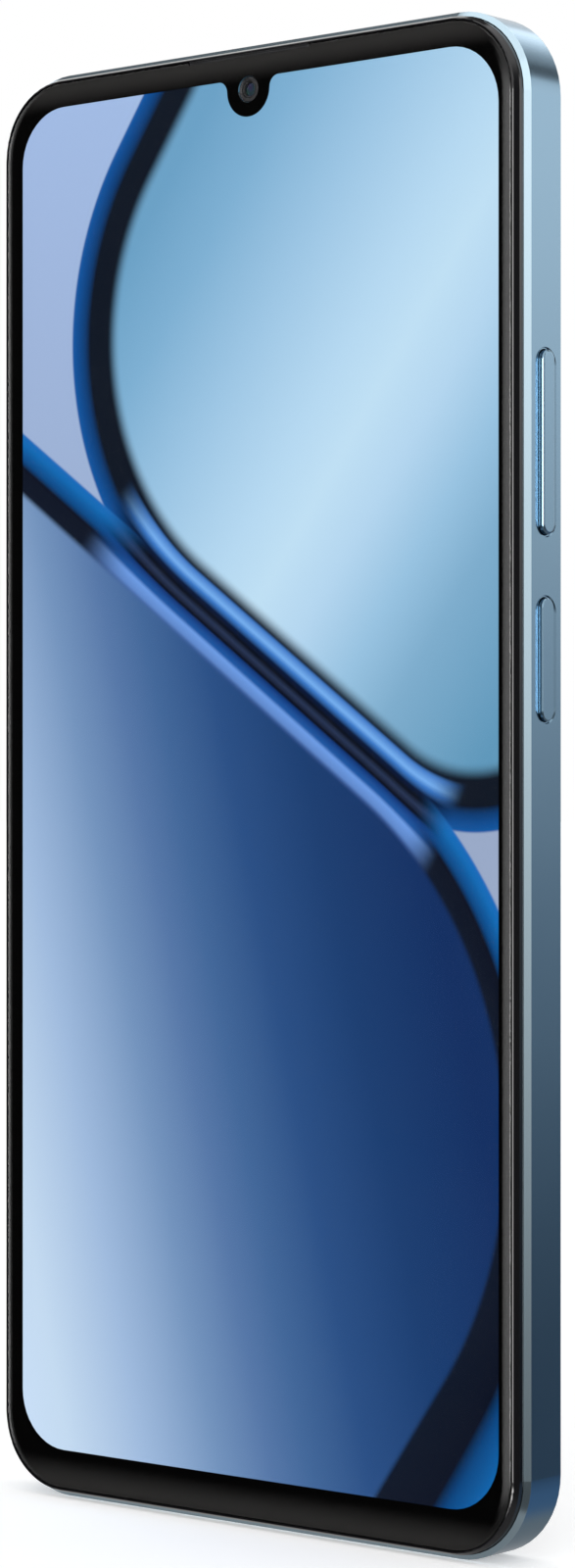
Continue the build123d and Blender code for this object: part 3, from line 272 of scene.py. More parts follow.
def lit_screen():
    """The lit picture: two blue pebbles on lavender, whose dark rims meet on a diagonal."""
    f = material("screen_picture")
    x, _, z = f.place()
    cos, sin = math.cos(math.radians(-35.0)), math.sin(math.radians(-35.0))
    along, across = x * cos + z * sin, z * cos - x * sin
    upper = pebble(f, along, across, (-100.0, -16.5), (85.4, 215.0), 32.0, 15.0)
    lower = pebble(f, along, across, (-150.0, 11.6), (-80.0, 76.6), 45.0, 45.0)
    sky = f.ramp(((x - 2.0) * 0.8 - (z - 105.0) * 0.6 + 40.0) / 80.0, [
        (0.0, srgb(110, 165, 202)), (0.118, srgb(129, 180, 215)), (0.27, srgb(161, 203, 233)),
        (0.42, srgb(186, 222, 246)), (0.5, srgb(196, 229, 249)), (0.59, srgb(184, 219, 244)),
        (0.69, srgb(155, 199, 229)), (0.78, srgb(129, 177, 209)), (0.95, srgb(97, 155, 190)),
    ])
    sea = f.ramp((x + 35.0 + z * 0.26) / 80.0, [
        (0.0, srgb(208, 230, 254)), (0.11, srgb(201, 224, 246)), (0.26, srgb(163, 191, 226)),
        (0.4, srgb(118, 151, 193)), (0.5, srgb(88, 122, 171)), (0.57, srgb(68, 106, 157)),
        (0.68, srgb(42, 81, 136)), (0.82, srgb(25, 63, 116)), (1.0, srgb(14, 47, 100)),
    ])
    lavender = f.ramp(z / 165.0, [
        (0.0, srgb(153, 174, 205)), (0.5, srgb(157, 173, 203)), (1.0, srgb(166, 192, 233)),
    ])
    upper_rim = f.ramp(upper / 6.7, [
        (0.0, srgb(12, 20, 34)), (0.58, srgb(10, 20, 34)), (0.72, srgb(8, 62, 120)),
        (0.9, srgb(12, 80, 152)), (1.0, srgb(20, 92, 165)),
    ])
    lower_width = f.step(z, 60.0, 5.0, 8.5) + 6.0
    lower_rim = f.ramp(lower / lower_width, [
        (0.0, srgb(12, 22, 40)), (0.45, srgb(8, 16, 34)), (0.56, srgb(6, 70, 130)),
        (0.85, srgb(14, 108, 184)), (1.0, srgb(28, 110, 190)),
    ])
    meeting = f.ramp(lower / (lower + upper), [
        (0.0, srgb(70, 104, 168)), (0.06, srgb(98, 140, 208)), (0.17, srgb(112, 160, 232)),
        (0.22, srgb(30, 90, 165)), (0.32, srgb(16, 60, 130)), (0.36, srgb(2, 4, 16)),
        (0.45, srgb(38, 52, 84)), (0.52, srgb(4, 8, 20)), (0.6, srgb(4, 24, 60)),
        (0.68, srgb(60, 124, 204)), (0.74, srgb(120, 178, 242)), (0.84, srgb(70, 128, 205)),
        (0.88, srgb(14, 28, 46)), (1.0, srgb(12, 24, 42)),
    ])
    picture = f.mix(f.step(upper, 6.9, 6.5), lavender, upper_rim)
    picture = f.mix(f.step(lower - lower_width, 0.2, -0.2), picture, lower_rim)
    picture = f.mix(f.step(upper + lower, 12.5, 9.5), picture, meeting)
    picture = f.mix(f.step(upper, 1.2, -0.8), picture, sky)
    picture = f.mix(f.step(lower, 0.5, -0.4), picture, sea)
    # outside the lit area the panel is dark, with its driver lines along the lower edge
    lit = f.step(f.size(x), 35.4, 35.3) * f.step(z, picture_low - 0.3, picture_low - 0.2)
    lines = f.stripes(x, 0.5, 0.2) * (1.0 - lit)
    return f.surface(f.principled(
        base_color=f.mix(lines, (0.001, 0.001, 0.001), (0.03, 0.035, 0.05)), roughness=0.35,
        specular_ior_level=0.0, emission_color=f.mix(lit, (0.0, 0.0, 0.0), picture),
        emission_strength=1.0,
    ))


# ---- Materials: a fine grain with marks on it ----------------------------------------------------
def grained(
    name, dark, pale, roughness, metallic=0.0, grain=0.2, depth=0.003, stretch=(1.0, 1.0, 1.0),
    marks=(), **sockets
):
    """A finish with fine grain and cloudy wear. Each mark is a function of the finish that gives a
    mask and the colour, roughness, metallic and rise that the surface has there."""
    f = material(name)
    speck = f.noise(grain, detail=3.0, stretch=stretch)
    cloud = f.noise(grain * 35.0, detail=4.0)
    colour = f.mix(speck * 0.55 + cloud * 0.45, dark, pale)
    rough = speck * 0.1 + cloud * 0.14 + (roughness - 0.12)
    shine, relief = metallic, speck
    for mark in marks:
        mask, mark_colour, mark_roughness, mark_metallic, rise = mark(f)
        colour = f.mix(mask, colour, mark_colour)
        rough = rough + mask * (mark_roughness - roughness)
        shine = mask * (mark_metallic - metallic) + shine
        relief = relief + mask * rise
    return f.surface(f.principled(
        base_color=colour, roughness=rough, metallic=shine, normal=f.bump(relief, depth), **sockets
    ))


GOLD = (0.83, 0.62, 0.28)
COPPER = (0.72, 0.36, 0.16)


def worn_rim(node, colour, width=0.35, roughness=0.25, metallic=0.0):
    """A mark: the outline of a node, rubbed paler in places."""
    def mark(f):
        x, _, z = f.place()
        inward_x = f.least(x - low(node, "x"), high(node, "x") - x)
        inward_z = f.least(z - low(node, "z"), high(node, "z") - z)
        edge = f.step(f.least(inward_x, inward_z), width, 0.0)
        return edge * f.step(f.noise(2.5, detail=4.0), 0.42, 0.62), colour, roughness, metallic, 0.0
    return mark


def lines(axis, pitch, width, colour, roughness=0.3, metallic=1.0, rise=1.0):
    """A mark: even thin lines that run across an axis, such as traces or contacts."""
    def mark(f):
        value = f.place()["xyz".index(axis)]
        return f.stripes(value, pitch, width), colour, roughness, metallic, rise
    return mark


def dots(axes, pitch, radius, colour, roughness=0.35, metallic=1.0, rise=1.0, keep=0.0):
    """A mark: a grid of round dots. With keep, a coarse noise leaves some of them out."""
    def mark(f):
        place = f.place()
        u, v = (place["xyz".index(axis)] for axis in axes)
        away = f.length(f.fold(u, pitch), f.fold(v, pitch))
        mask = f.step(away, radius * 1.1, radius * 0.9)
        if keep:
            mask = mask * f.step(f.noise(pitch * 4.0, detail=1.0), keep, keep + 0.04)
        return mask, colour, roughness, metallic, rise
    return mark


def patches(size, colour, start, roughness, metallic=0.0, rise=0.5):
    """A mark: soft irregular patches, such as stains, flow marks or wrinkles."""
    def mark(f):
        cloud = f.noise(size, detail=5.0, roughness=0.6)
        return f.step(cloud, start, start + 0.06), colour, roughness, metallic, rise
    return mark


def wiring(f):
    """A mark: the fine traces of a circuit board, which turn from along to across in blocks."""
    x, _, z = f.place()
    block = f.step(f.noise(5.0, detail=0.0), 0.49, 0.51)
    bare = f.step(f.noise(7.0, detail=1.0), 0.4, 0.44)
    along, across = f.stripes(x, 0.5, 0.16), f.stripes(z, 0.5, 0.16)
    mask = along * block + across * (1.0 - block)
    return mask * bare, (0.06, 0.2, 0.13), 0.3, 0.0, 1.0


def cell_edges(size, colour, roughness, metallic=0.0, rise=-1.0, width=0.08):
    """A mark: the thin borders between small cells, such as pores or crinkles."""
    def mark(f):
        where = f.node("ShaderNodeTexCoord", output="Object")
        inputs = {"Vector": where, "Scale": PER_MM / size}
        edge = f.node("ShaderNodeTexVoronoi", {"feature": "DISTANCE_TO_EDGE"}, inputs)
        return f.step(edge, width, 0.0), colour, roughness, metallic, rise
    return mark


def turning(x, z, pitch, colour, roughness=0.2, metallic=1.0, rise=1.0):
    """A mark: the fine rings that a lathe leaves round an axis along Y."""
    def mark(f):
        px, _, pz = f.place()
        rings = f.stripes(f.length(px - x, pz - z), pitch, pitch * 0.4)
        return rings, colour, roughness, metallic, rise
    return mark


# ---- Materials: housing --------------------------------------------------------------------------
def satin_black():
    """Fine moulded black with an even gloss, for the lip round the glass."""
    f = material("bezel_black")
    grain, cloud = f.noise(0.1, detail=2.0), f.noise(12.0, detail=2.0)
    return f.surface(f.principled(
        base_color=f.mix(grain, (0.002, 0.002, 0.0025), (0.006, 0.006, 0.007)),
        roughness=cloud * 0.02 + grain * 0.02 + 0.06, specular_ior_level=0.6,
        normal=f.bump(grain, 0.00005),
    ))


def satin_blue(name, chamfer_colour=None):
    """Blue anodised metal: fine blasted faces and, on the frame, a smoother, paler cut chamfer."""
    f = material(name)
    y = f.place()[1]
    grain = f.noise(0.09, detail=2.0)
    drift = f.noise(22.0, detail=3.0)
    rubbed = f.step(f.noise(1.4, detail=5.0), 0.6, 0.75)
    colour = f.mix(grain * 0.5 + drift * 0.5, srgb(124, 152, 172), srgb(136, 165, 184))
    rough = grain * 0.05 + drift * 0.05 + 0.17
    if chamfer_colour:
        chamfer = f.step(y, frame_front + 0.62, frame_front + 0.55)
        edge = f.step(f.size(y - (frame_front + 0.58)), 0.06, 0.02)
        colour = f.mix(chamfer, colour, chamfer_colour)
        colour = f.mix(edge * rubbed * 0.5, colour, srgb(214, 226, 234))
        rough = rough - chamfer * 0.08
    return f.surface(f.principled(
        base_color=colour, metallic=1.0, roughness=rough, normal=f.bump(grain, 0.0012),
    ))


def rear_glass():
    """The rear cover: deep blue under a clear gloss, fine shimmer, random drift and painted shade.
    """
    f = material("rear_blue")
    x, _, z = f.place()
    shimmer = f.noise(0.05, detail=1.0)
    flow = f.noise(60.0, detail=2.0, stretch=(1.0, 1.0, 2.0))
    smear = f.step(f.noise(12.0, detail=5.0), 0.5, 0.8)
    # painted shade: darker towards the bottom and a little towards -X; the flow noise is random
    shade_and_tone = (z - 10.0) / 150.0 * 0.7 + (x + 35.0) / 70.0 * 0.15 + flow * 0.15
    deep = f.ramp(shade_and_tone, [
        (0.0, srgb(16, 38, 62)), (0.45, srgb(33, 70, 98)), (0.8, srgb(70, 112, 140)),
        (1.0, srgb(100, 140, 164)),
    ])
    colour = f.mix(f.step(shimmer, 0.55, 0.75) * 0.35, deep, srgb(150, 186, 205))
    return f.surface(f.principled(
        base_color=colour, metallic=0.55, roughness=shimmer * 0.1 + 0.3, coat_weight=1.0,
        coat_roughness=0.03, normal=f.bump(smear, 0.0006),
    ))


def lens_coating():
    """Dark lens glass whose thin coating shines green and violet."""
    f = material("lens_glass")
    cloud = f.noise(1.2, detail=2.0)
    tint = f.ramp(cloud, [
        (0.3, (0.015, 0.05, 0.035)), (0.5, (0.02, 0.025, 0.06)), (0.7, (0.05, 0.02, 0.06)),
    ])
    return f.surface(f.principled(
        base_color=tint, roughness=cloud * 0.03 + 0.02, metallic=0.0, coat_weight=1.0,
        coat_roughness=0.02, specular_ior_level=0.9,
    ))


def flash_window_plastic():
    """Clear moulded plastic with the rings of a flat lens."""
    f = material("flash_lens")
    x, _, z = f.place()
    away = f.length(x - middle("flash_window", "x"), z - middle("flash_window", "z"))
    rings = f.fold(away, 0.22) / 0.11
    clear = f.node("ShaderNodeBsdfTransparent", inputs={"Color": (0.97, 0.96, 0.92)})
    body = f.principled(
        base_color=f.mix(rings, (0.9, 0.88, 0.8), (0.75, 0.74, 0.7)), roughness=rings * 0.1 + 0.1,
        normal=f.bump(rings, 0.08),
    )
    return f.surface(f.blend_shaders(rings * 0.25 + 0.35, clear, body))


def flash_ceramic():
    """The flash: a white ceramic base with a yellow patch over each of its two dies."""
    f = material("flash_yellow")
    x, _, z = f.place()
    dx = f.size(f.size(x - middle("flash_led", "x")) - 0.65)
    dz = f.size(z - middle("flash_led", "z"))
    patch = f.step(dx, 0.52, 0.48) * f.step(dz, 1.02, 0.98)
    grain = f.noise(0.06, detail=3.0)
    yellow = f.mix(grain, (0.85, 0.62, 0.05), (0.95, 0.75, 0.16))
    white = f.mix(grain, (0.78, 0.77, 0.73), (0.88, 0.87, 0.83))
    return f.surface(f.principled(
        base_color=f.mix(patch, white, yellow), roughness=grain * 0.2 + 0.4,
        normal=f.bump(patch + grain * 0.3, 0.03),
    ))


# ---- Dress the nodes -----------------------------------------------------------------------------
def dress(names, finish):
    """Gives CAD nodes a material."""
    for name in names.split():
        nodes[name].data.materials.clear()
        nodes[name].data.materials.append(finish)
    return finish


grey_steel = ((0.42, 0.42, 0.41), (0.6, 0.6, 0.58))
ink = ((0.012, 0.012, 0.013), (0.03, 0.03, 0.032))

dress("cover_glass", clear_pane("cover_glass"))
dress("optical_adhesive", gel_layer())
dress("border_film", black_print())
dress("display_panel", lit_screen())
dress("backlight_unit", grained(
    "backlight_white", (0.78, 0.79, 0.82), (0.88, 0.89, 0.9), 0.4, grain=0.4,
    marks=[dots("xz", 0.8, 0.12, (0.95, 0.95, 0.96), 0.3, 0.0), worn_rim(
        "backlight_unit", (0.6, 0.61, 0.62), 1.2, 0.3, 0.8)],
))
dress("display_driver board_chips microphones light_sensor", grained(
    "chip_black", (0.018, 0.018, 0.02), (0.045, 0.045, 0.048), 0.5, grain=0.12, depth=0.006,
    marks=[patches(3.0, (0.06, 0.06, 0.062), 0.62, 0.6)],
))
dress("display_flex key_flex main_flex battery_flex", grained(
    "flex_amber", (0.4, 0.17, 0.03), (0.62, 0.31, 0.08), 0.35, grain=0.3,
    marks=[lines("x", 0.34, 0.16, COPPER, 0.3, 0.8), cell_edges(6.0, (0.3, 0.12, 0.02), 0.5)],
))
dress("display_adhesive battery_adhesive cover_adhesive", grained(
    "tape_black", *ink, 0.8, grain=0.15, depth=0.02,
    marks=[cell_edges(0.25, (0.005, 0.005, 0.005), 0.9, rise=-1.0, width=0.2)],
))
dress("front_bezel", satin_black())
dress("mid_plate key_bracket card_reader board_shields motor_cup motor_lid", grained(
    "plate_steel", *grey_steel, 0.34, 1.0, grain=0.12, stretch=(1.0, 1.0, 30.0),
    marks=[dots("xz", 6.0, 0.28, (0.35, 0.34, 0.32), 0.5, 1.0, -2.0), patches(
        9.0, (0.5, 0.49, 0.46), 0.6, 0.42, 1.0, 0.0)],
))
dress("side_frame", satin_blue("frame_blue", srgb(196, 220, 233)))
dress("volume_rocker power_key sim_tray", satin_blue("key_blue"))
dress("key_domes", grained(
    "dome_steel", (0.55, 0.55, 0.53), (0.7, 0.7, 0.68), 0.22, 1.0, grain=0.1,
    marks=[patches(0.8, (0.4, 0.39, 0.36), 0.58, 0.35, 1.0)],
))
dress("tray_gasket bottom_gaskets", grained(
    "seal_rubber", (0.02, 0.02, 0.022), (0.05, 0.05, 0.055), 0.7, grain=0.12, depth=0.01,
    marks=[patches(1.5, (0.09, 0.09, 0.09), 0.62, 0.85)],
))
dress("main_board sub_board", grained(
    "board_green", (0.012, 0.07, 0.045), (0.022, 0.11, 0.07), 0.38, grain=0.25,
    marks=[wiring, dots("xz", 1.3, 0.2, GOLD, 0.3, 1.0, 1.0, 0.5), dots(
        "xz", 0.7, 0.07, (0.01, 0.03, 0.02), 0.5, 0.0, -1.0, 0.46)],
))
dress("thermal_pad", grained(
    "pad_grey", (0.38, 0.4, 0.43), (0.5, 0.52, 0.55), 0.7, grain=0.3, depth=0.02,
    marks=[lines("x", 0.6, 0.12, (0.33, 0.35, 0.38), 0.8, 0.0, -1.0), lines(
        "z", 0.6, 0.12, (0.33, 0.35, 0.38), 0.8, 0.0, -1.0)],
))
dress("board_connectors port_tongue audio_jack receiver_speaker loudspeaker", grained(
    "connector_black", (0.014, 0.014, 0.015), (0.035, 0.035, 0.037), 0.42, grain=0.18,
    marks=[patches(2.5, (0.05, 0.05, 0.052), 0.6, 0.3)],
))
dress("antenna_cable", grained(
    "cable_black", (0.012, 0.012, 0.013), (0.03, 0.03, 0.03), 0.3, grain=0.15,
    marks=[lines("z", 0.5, 0.08, (0.05, 0.05, 0.05), 0.4, 0.0, 0.5)],
))
dress("battery", grained(
    "battery_foil", (0.05, 0.05, 0.055), (0.11, 0.11, 0.12), 0.34, 0.6, grain=0.5, depth=0.02,
    marks=[cell_edges(11.0, (0.16, 0.16, 0.17), 0.25, 0.7, 1.0, 0.03), worn_rim(
        "battery", (0.3, 0.3, 0.31), 1.4, 0.3, 0.8)],
))
dress("charging_port", grained(
    "port_steel", (0.34, 0.34, 0.35), (0.52, 0.52, 0.53), 0.3, 1.0, grain=0.1,
    stretch=(20.0, 1.0, 1.0), marks=[patches(3.0, (0.3, 0.3, 0.29), 0.6, 0.42, 1.0, 0.0)],
))
dress("upper_inner_cover lower_inner_cover", grained(
    "cover_black", (0.02, 0.021, 0.023), (0.042, 0.044, 0.047), 0.5, grain=0.14, depth=0.008,
    marks=[patches(14.0, GOLD, 0.61, 0.3, 1.0, 1.0)],
))
dress("speaker_mesh receiver_mesh", grained(
    "mesh_steel", (0.05, 0.05, 0.055), (0.12, 0.12, 0.125), 0.4, 1.0, grain=0.1, depth=0.05,
    marks=[dots("xz", 0.22, 0.07, (0.004, 0.004, 0.004), 0.9, 0.0, -1.0)],
))
dress("motor_rotor", grained(
    "rotor_tungsten", (0.2, 0.2, 0.22), (0.32, 0.32, 0.34), 0.45, 1.0, grain=0.08, depth=0.006,
    marks=[turning(middle("motor_cup", "x"), middle("motor_cup", "z"), 0.12, (0.4, 0.4, 0.42))],
))
lens_glass = dress("front_camera_lens", lens_coating())
dress("board_screws", grained(
    "screw_steel", (0.28, 0.28, 0.3), (0.46, 0.46, 0.48), 0.3, 1.0, grain=0.08,
    marks=[patches(0.9, (0.2, 0.2, 0.21), 0.58, 0.45, 1.0)],
))
barrel_black = dress("front_camera main_camera main_camera_lens second_camera", grained(
    "barrel_black", (0.008, 0.008, 0.009), (0.022, 0.022, 0.024), 0.46, grain=0.1, depth=0.006,
    marks=[turning(middle("main_camera_lens", "x"), middle("main_camera_lens", "z"), 0.2,
                   (0.03, 0.03, 0.033), 0.35, 0.3)],
))
dress("flash_led", flash_ceramic())
dress("rear_cover", rear_glass())
dress("camera_frame", grained(
    "island_blue", srgb(48, 78, 102), srgb(66, 98, 122), 0.3, 0.9, grain=0.08, depth=0.0015,
    marks=[worn_rim("camera_frame", srgb(150, 182, 200), 0.3, 0.2, 1.0)],
))
dress("lens_rings", grained(
    "ring_steel", (0.32, 0.42, 0.5), (0.5, 0.6, 0.68), 0.22, 1.0, grain=0.08,
    marks=[turning(middle("main_camera_lens", "x"), middle("main_camera_lens", "z"), 0.14,
                   (0.62, 0.72, 0.78)),
           turning(middle("second_camera", "x"), middle("second_camera", "z"), 0.14,
                   (0.62, 0.72, 0.78))],
))
dress("camera_windows", clear_pane("window_glass", (0.32, 0.34, 0.38), 3.0))
dress("flash_window", flash_window_plastic())
dress("graphite_sheet", grained(
    "graphite", (0.05, 0.05, 0.053), (0.11, 0.11, 0.115), 0.42, 0.7, grain=0.2, depth=0.01,
    stretch=(6.0, 1.0, 1.0), marks=[cell_edges(9.0, (0.16, 0.16, 0.165), 0.3, 0.8, 1.0, 0.02)],
))
dress("fingerprint_sensor", grained(
    "sensor_blue", srgb(72, 96, 116), srgb(90, 114, 134), 0.26, 0.6, grain=0.06, depth=0.001,
    marks=[worn_rim("fingerprint_sensor", srgb(140, 164, 182), 0.15, 0.2, 0.8)],
))


# ---- Making new pieces ---------------------------------------------------------------------------
def start(kind, centre, turn=(0.0, 0.0, 0.0), **settings):
    """Adds a primitive at a place in millimetres, with nothing else selected, and opens it."""
    bpy.ops.object.select_all(action="DESELECT")
    add = getattr(bpy.ops.mesh, f"primitive_{kind}_add")
    add(location=[c * MM for c in centre], rotation=[math.radians(a) for a in turn], **settings)
    piece = bpy.context.object
    bpy.ops.object.transform_apply(location=True, rotation=True, scale=True)
    bpy.ops.object.mode_set(mode="EDIT")
    return piece


def pick_faces(piece, test):
    """In edit mode, selects the faces whose middle (in millimetres) and normal pass a test."""
    bpy.ops.mesh.select_all(action="DESELECT")
    bpy.ops.object.mode_set(mode="OBJECT")
    for face in piece.data.polygons:
        face.select = bool(test(face.center / MM, face.normal))
    bpy.ops.object.mode_set(mode="EDIT")


def push(x=0.0, y=0.0, z=0.0):
    """Extrudes what is selected by a step in millimetres."""
    bpy.ops.mesh.extrude_region_move(TRANSFORM_OT_translate={"value": (x * MM, y * MM, z * MM)})


def turned(centre, profile, ring=False, sides=64):
    """A round piece on an axis along Y: its outline is drawn out step by step, as (radius, y)."""
    x, z = centre
    radius, y = profile[0]
    fill = "NOTHING" if ring else "NGON"
    piece = start("circle", (x, y, z), (90.0, 0.0, 0.0), vertices=sides, radius=radius * MM,
                  fill_type=fill)
    for next_radius, next_y in profile[1:] + (profile[:1] if ring else []):
        push(y=next_y - y)
        grow = next_radius / radius
        bpy.ops.transform.resize(
            value=(grow, 1.0, grow), center_override=(x * MM, next_y * MM, z * MM))
        radius, y = next_radius, next_y
    bpy.ops.mesh.select_all(action="SELECT")
    bpy.ops.mesh.remove_doubles(threshold=0.0001 * MM)
    return piece


def bar(x, y, z, edge=0.0):
    """A bar between two corners in millimetres, with its edges eased."""
    middle_point = [sum(pair) / 2 for pair in (x, y, z)]
    piece = start("cube", middle_point, size=1.0)
    bpy.ops.transform.resize(
        value=[(pair[1] - pair[0]) * MM for pair in (x, y, z)],
        center_override=[c * MM for c in middle_point])
    if edge:
        bpy.ops.mesh.bevel(offset=edge * MM, segments=2)
    return piece


def repeat(piece, count, step):
    """Lays the piece out in a row, each copy a step in millimetres from the last."""
    bpy.ops.object.mode_set(mode="OBJECT")
    row = piece.modifiers.new("row", "ARRAY")
    row.count = count
    row.use_relative_offset = False
    row.use_constant_offset = True
    row.constant_offset_displace = [s * MM for s in step]
    bpy.ops.object.modifier_apply(modifier="row")
    bpy.ops.object.mode_set(mode="EDIT")


def finish_piece(piece, name, finish, body="phone", smooth=35.0):
    """Closes a piece: normals out, a name, a finish, and the body that it rides on."""
    bpy.ops.object.mode_set(mode="EDIT")
    bpy.ops.mesh.select_all(action="SELECT")
    bpy.ops.mesh.normals_make_consistent(inside=False)
    bpy.ops.object.mode_set(mode="OBJECT")
    bpy.ops.object.shade_smooth_by_angle(angle=math.radians(smooth))
    piece.name = piece.data.name = name
    piece.data.materials.clear()
    piece.data.materials.append(finish)
    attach(piece, body)
    return piece


gold_plate = grained(
    "gold_plate", (0.7, 0.5, 0.2), GOLD, 0.24, 1.0, grain=0.06,
    marks=[patches(0.5, (0.6, 0.42, 0.17), 0.6, 0.4, 1.0)])
aperture_black = grained(
    "aperture_black", (0.004, 0.004, 0.004), (0.012, 0.012, 0.013), 0.6, grain=0.05,
    marks=[patches(0.4, (0.02, 0.02, 0.022), 0.6, 0.5)])
capacitor_tan = grained(
    "capacitor_tan", (0.3, 0.22, 0.14), (0.42, 0.32, 0.21), 0.45, grain=0.06, depth=0.004,
    marks=[patches(0.5, (0.24, 0.17, 0.11), 0.6, 0.5)])

# the charging socket's contacts: twelve on each face of the tongue
tongue_y = (low("port_tongue", "y"), high("port_tongue", "y"))
tongue_z = (low("port_tongue", "z"), high("port_tongue", "z"))
contact_count, contact_pitch, contact_half = 12, 0.5, 0.125
first_contact = middle("port_tongue", "x") - (contact_count - 1) / 2 * contact_pitch
for side, y in (("front", tongue_y[0]), ("back", tongue_y[1])):
    contact = bar((first_contact - contact_half, first_contact + contact_half),
                  (y - 0.02, y + 0.02),
                  (tongue_z[0] + 0.55, tongue_z[0] + 4.0), 0.008)
    pick_faces(contact, lambda at, n: n.z < -0.9)
    push(z=-0.12)
    bpy.ops.transform.resize(value=(0.6, 0.6, 1.0))
    repeat(contact, contact_count, (contact_pitch, 0.0, 0.0))
    finish_piece(contact, f"port_contacts_{side}", gold_plate)

# the headphone socket's springs, bent towards the plug, one behind the other
jack_middle = (middle("audio_jack", "x"), middle("port_tongue", "y"))
for number, (angle, deep) in enumerate(((0.0, 4.6), (180.0, 7.4), (0.0, 10.2)), start=1):
    lean = math.cos(math.radians(angle))
    at = jack_middle[0] + lean * 1.66
    spring = bar((at - 0.05, at + 0.05), (jack_middle[1] - 0.35, jack_middle[1] + 0.35),
                 (deep, deep + 0.7), 0.015)
    pick_faces(spring, lambda p, n: n.z > 0.9)
    push(x=-lean * 0.22, z=0.6)
    push(x=lean * 0.16, z=0.45)
    bpy.ops.transform.resize(value=(0.8, 0.8, 1.0))
    finish_piece(spring, f"jack_spring_{number}", gold_plate)

# the front camera: a stepped aperture ring over the lens, and a thin ring in front of its barrel
camera_centre = (middle("front_camera_lens", "x"), notch_z)
lens_y = low("front_camera_lens", "y")
aperture = turned(camera_centre, [
    (0.98, lens_y - 0.3), (0.9, lens_y - 0.34), (0.8, lens_y - 0.3), (0.74, lens_y - 0.12),
    (0.78, lens_y - 0.04), (0.98, lens_y - 0.04),
], ring=True)
finish_piece(aperture, "front_camera_aperture", aperture_black)
ring_y = low("front_camera", "y")
bezel_ring = turned(camera_centre, [
    (1.42, ring_y - 0.01), (1.36, ring_y - 0.05), (1.24, ring_y - 0.05), (1.18, ring_y - 0.01),
], ring=True, sides=80)
finish_piece(bezel_ring, "front_camera_ring", barrel_black)

# the rear lenses: stepped baffles round a domed glass, deep in each barrel
for name, node, body, inner in (
    ("main", "main_camera_lens", "main_camera_lens", 2.1),
    ("second", "second_camera", "phone", 1.5),
):
    centre = (middle(node, "x"), middle(node, "z"))
    rim_y = high(node, "y")
    floor_y = rim_y - (0.6 if name == "main" else 0.5)
    baffle = turned(centre, [
        (inner - 0.03, floor_y + 0.01), (inner - 0.03, rim_y - 0.08), (inner - 0.16, rim_y - 0.05),
        (inner - 0.34, rim_y - 0.18), (inner - 0.36, rim_y - 0.24), (inner - 0.56, rim_y - 0.3),
        (inner - 0.6, floor_y + 0.01),
    ], ring=True, sides=72)
    finish_piece(baffle, f"{name}_lens_baffle", aperture_black, body)
    reach = inner - 0.64
    dome = turned(centre, [
        (reach, floor_y + 0.01), (reach, floor_y + 0.07), (reach * 0.93, floor_y + 0.14),
        (reach * 0.8, floor_y + 0.2), (reach * 0.6, floor_y + 0.25), (reach * 0.35, floor_y + 0.28),
        (reach * 0.1, floor_y + 0.29),
    ], sides=72)
    finish_piece(dome, f"{name}_lens_glass", lens_glass, body, 60.0)

# small parts in rows on the boards, clear of the shields
board_back = high("main_board", "y")
rows = (
    ("row_by_battery", low("main_board", "x") + 44.0, low("main_board", "z") + 1.6, 7, 1.5),
    ("row_by_sub_board", low("sub_board", "x") + 20.0, high("sub_board", "z") - 2.2, 8, 1.6),
)
for name, x, z, count, pitch in rows:
    part = bar((x, x + 0.6), (board_back, board_back + 0.3), (z, z + 0.3), 0.03)
    pick_faces(part, lambda p, n: n.y > 0.9)
    bpy.ops.mesh.inset(thickness=0.04 * MM)
    push(y=0.02)
    repeat(part, count, (pitch, 0.0, 0.0))
    finish_piece(part, f"capacitor_{name}", capacitor_tan)


# ---- Camera --------------------------------------------------------------------------------------
camera_data = bpy.data.cameras.new("camera")
camera = bpy.data.objects.new("camera", camera_data)
bpy.context.scene.collection.objects.link(camera)
camera.location = Vector((277.93, -330.49, 83.83)) * MM
camera.rotation_euler = (math.radians(90.0), 0.0, math.radians(39.742))
camera_data.sensor_width = 36.0
camera_data.lens = 87.47
camera_data.clip_start = 0.01
camera_data.clip_end = 100.0
bpy.context.scene.camera = camera


# ---- Stage ---------------------------------------------------------------------------------------
def soft_panel(f, direction, azimuth, elevation, half_width, half_height, soft):
    """A mask of 1 inside a soft-edged rectangle of the sky. Angles are in degrees from +X."""
    az, el = math.radians(azimuth), math.radians(elevation)
    ahead = Vector((math.cos(az) * math.cos(el), math.sin(az) * math.cos(el), math.sin(el)))
    side = Vector((-math.sin(az), math.cos(az), 0.0))
    above = ahead.cross(side)

    def dot(axis):
        settings = {"operation": "DOT_PRODUCT"}
        return f.node("ShaderNodeVectorMath", settings, {0: direction, 1: tuple(axis)}, output=1)

    depth = dot(ahead)
    near = f.most(depth, 0.01)
    across = f.size(dot(side) / near)
    up = f.size(dot(above) / near)
    reach = [math.tan(math.radians(a)) for a in (half_width, half_height)]
    fade = math.tan(math.radians(soft))
    mask = f.step(across, reach[0] + fade, reach[0] - fade)
    mask = mask * f.step(up, reach[1] + fade, reach[1] - fade)
    return mask * f.step(depth, 0.02, 0.1)


world = bpy.data.worlds.new("studio")
bpy.context.scene.world = world
w = Finish(world)
sky_direction = w.node("ShaderNodeTexCoord", output="Generated")
split = w.node("ShaderNodeSeparateXYZ", inputs={0: sky_direction})
height = Wire(w, split.socket.node.outputs["Z"])
light = w.step(height, -0.9, 0.9, 0.9) + 0.25
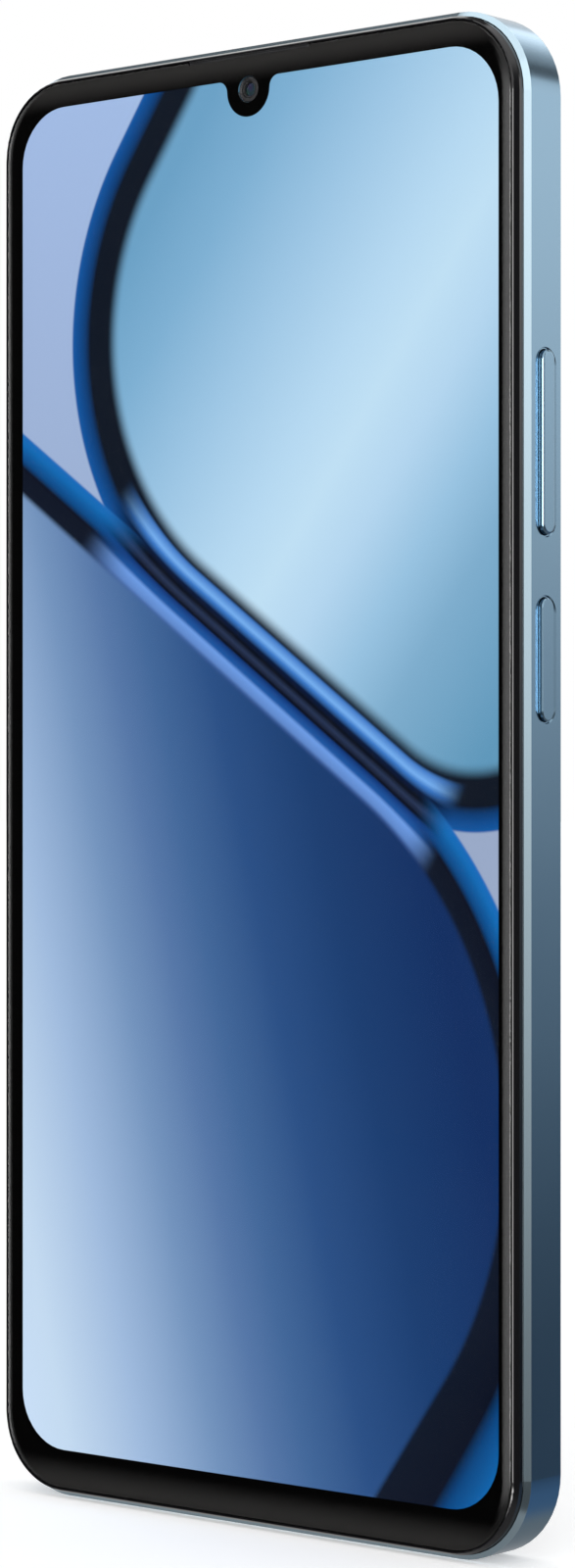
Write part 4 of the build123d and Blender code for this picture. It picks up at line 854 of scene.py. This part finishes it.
# the side face mirrors this side: bright above, falling to a dark blue below
side_view = soft_panel(w, sky_direction, 52.0, 0.0, 37.0, 36.0, 8.0)
fall = w.ramp(height + 0.5, [
    (0.2, 0.2), (0.3, 0.03), (0.342, 0.04), (0.422, 0.15), (0.491, 0.28), (0.56, 0.5),
    (0.663, 0.86), (0.8, 0.8),
]) * 1.75
light = light + side_view * (fall - light)
tint = w.ramp(height + 0.5, [
    (0.3, (0.36, 0.62, 1.0)), (0.422, (0.62, 0.8, 1.0)), (0.56, (0.96, 0.98, 1.0)),
    (0.7, (1.0, 1.0, 1.0)),
])
# the screen mirrors this side, so it is kept dark
light = light * (1.0 - soft_panel(w, sky_direction, -130.0, 0.0, 25.0, 60.0, 8.0) * 0.96)
# a soft grey for the slope round the glass, up to a tall bright strip for its edge and the lip
light = light + soft_panel(w, sky_direction, -97.0, 0.0, 10.0, 16.0, 6.0) * 1.8
light = light + soft_panel(w, sky_direction, -67.0, 0.0, 17.0, 14.0, 3.0) * 10.0
# the lip's side mirrors this side, so it is kept dark
light = light * (1.0 - soft_panel(w, sky_direction, 1.0, 0.0, 11.0, 50.0, 4.0) * 0.92)
# the glass's left edge mirrors this panel
light = light + soft_panel(w, sky_direction, 175.0, 0.0, 20.0, 18.0, 5.0) * 3.0
# the chamfer mirrors this side
chamfer_side = soft_panel(w, sky_direction, -36.0, 0.0, 18.0, 40.0, 6.0)
light = light + chamfer_side * (w.step(height, -0.26, 0.26, 1.2) + 0.08 - light)
# the bright band round the frame's upper corner, with dark on both sides of it
light = light * (1.0 - soft_panel(w, sky_direction, 64.0, 25.0, 22.0, 4.5, 2.5) * 0.85)
light = light + soft_panel(w, sky_direction, 78.0, 37.0, 25.0, 3.0, 2.5) * 1.9
light = light * (1.0 - soft_panel(w, sky_direction, 118.0, 53.0, 55.0, 11.0, 3.0) * 0.9)
seen = w.node("ShaderNodeLightPath", output="Is Camera Ray")
backdrop = w.node("ShaderNodeBackground", inputs={"Color": (1.0, 1.0, 1.0), "Strength": 1.0})
colour = w.mix(side_view, (1.0, 1.0, 1.0), tint)
studio = w.node("ShaderNodeBackground", inputs={"Color": colour, "Strength": light})
w.surface(w.blend_shaders(seen, studio, backdrop))

floor = start("circle", (0.0, 0.0, 0.0), vertices=96, radius=8.0, fill_type="NGON")
bpy.ops.mesh.inset(thickness=6.0)
bpy.ops.object.mode_set(mode="OBJECT")
floor.name = floor.data.name = "floor"
pale = material("pale_floor")
grit = pale.noise(1.5, detail=3.0)
floor.data.materials.append(pale.surface(pale.principled(
    base_color=pale.mix(grit, (0.85, 0.85, 0.85), (0.88, 0.88, 0.88)), roughness=0.8,
    specular_ior_level=0.0, emission_color=(1.0, 1.0, 1.0), emission_strength=0.35,
)))
floor.visible_glossy = False

bpy.context.scene.view_settings.view_transform = "Standard"
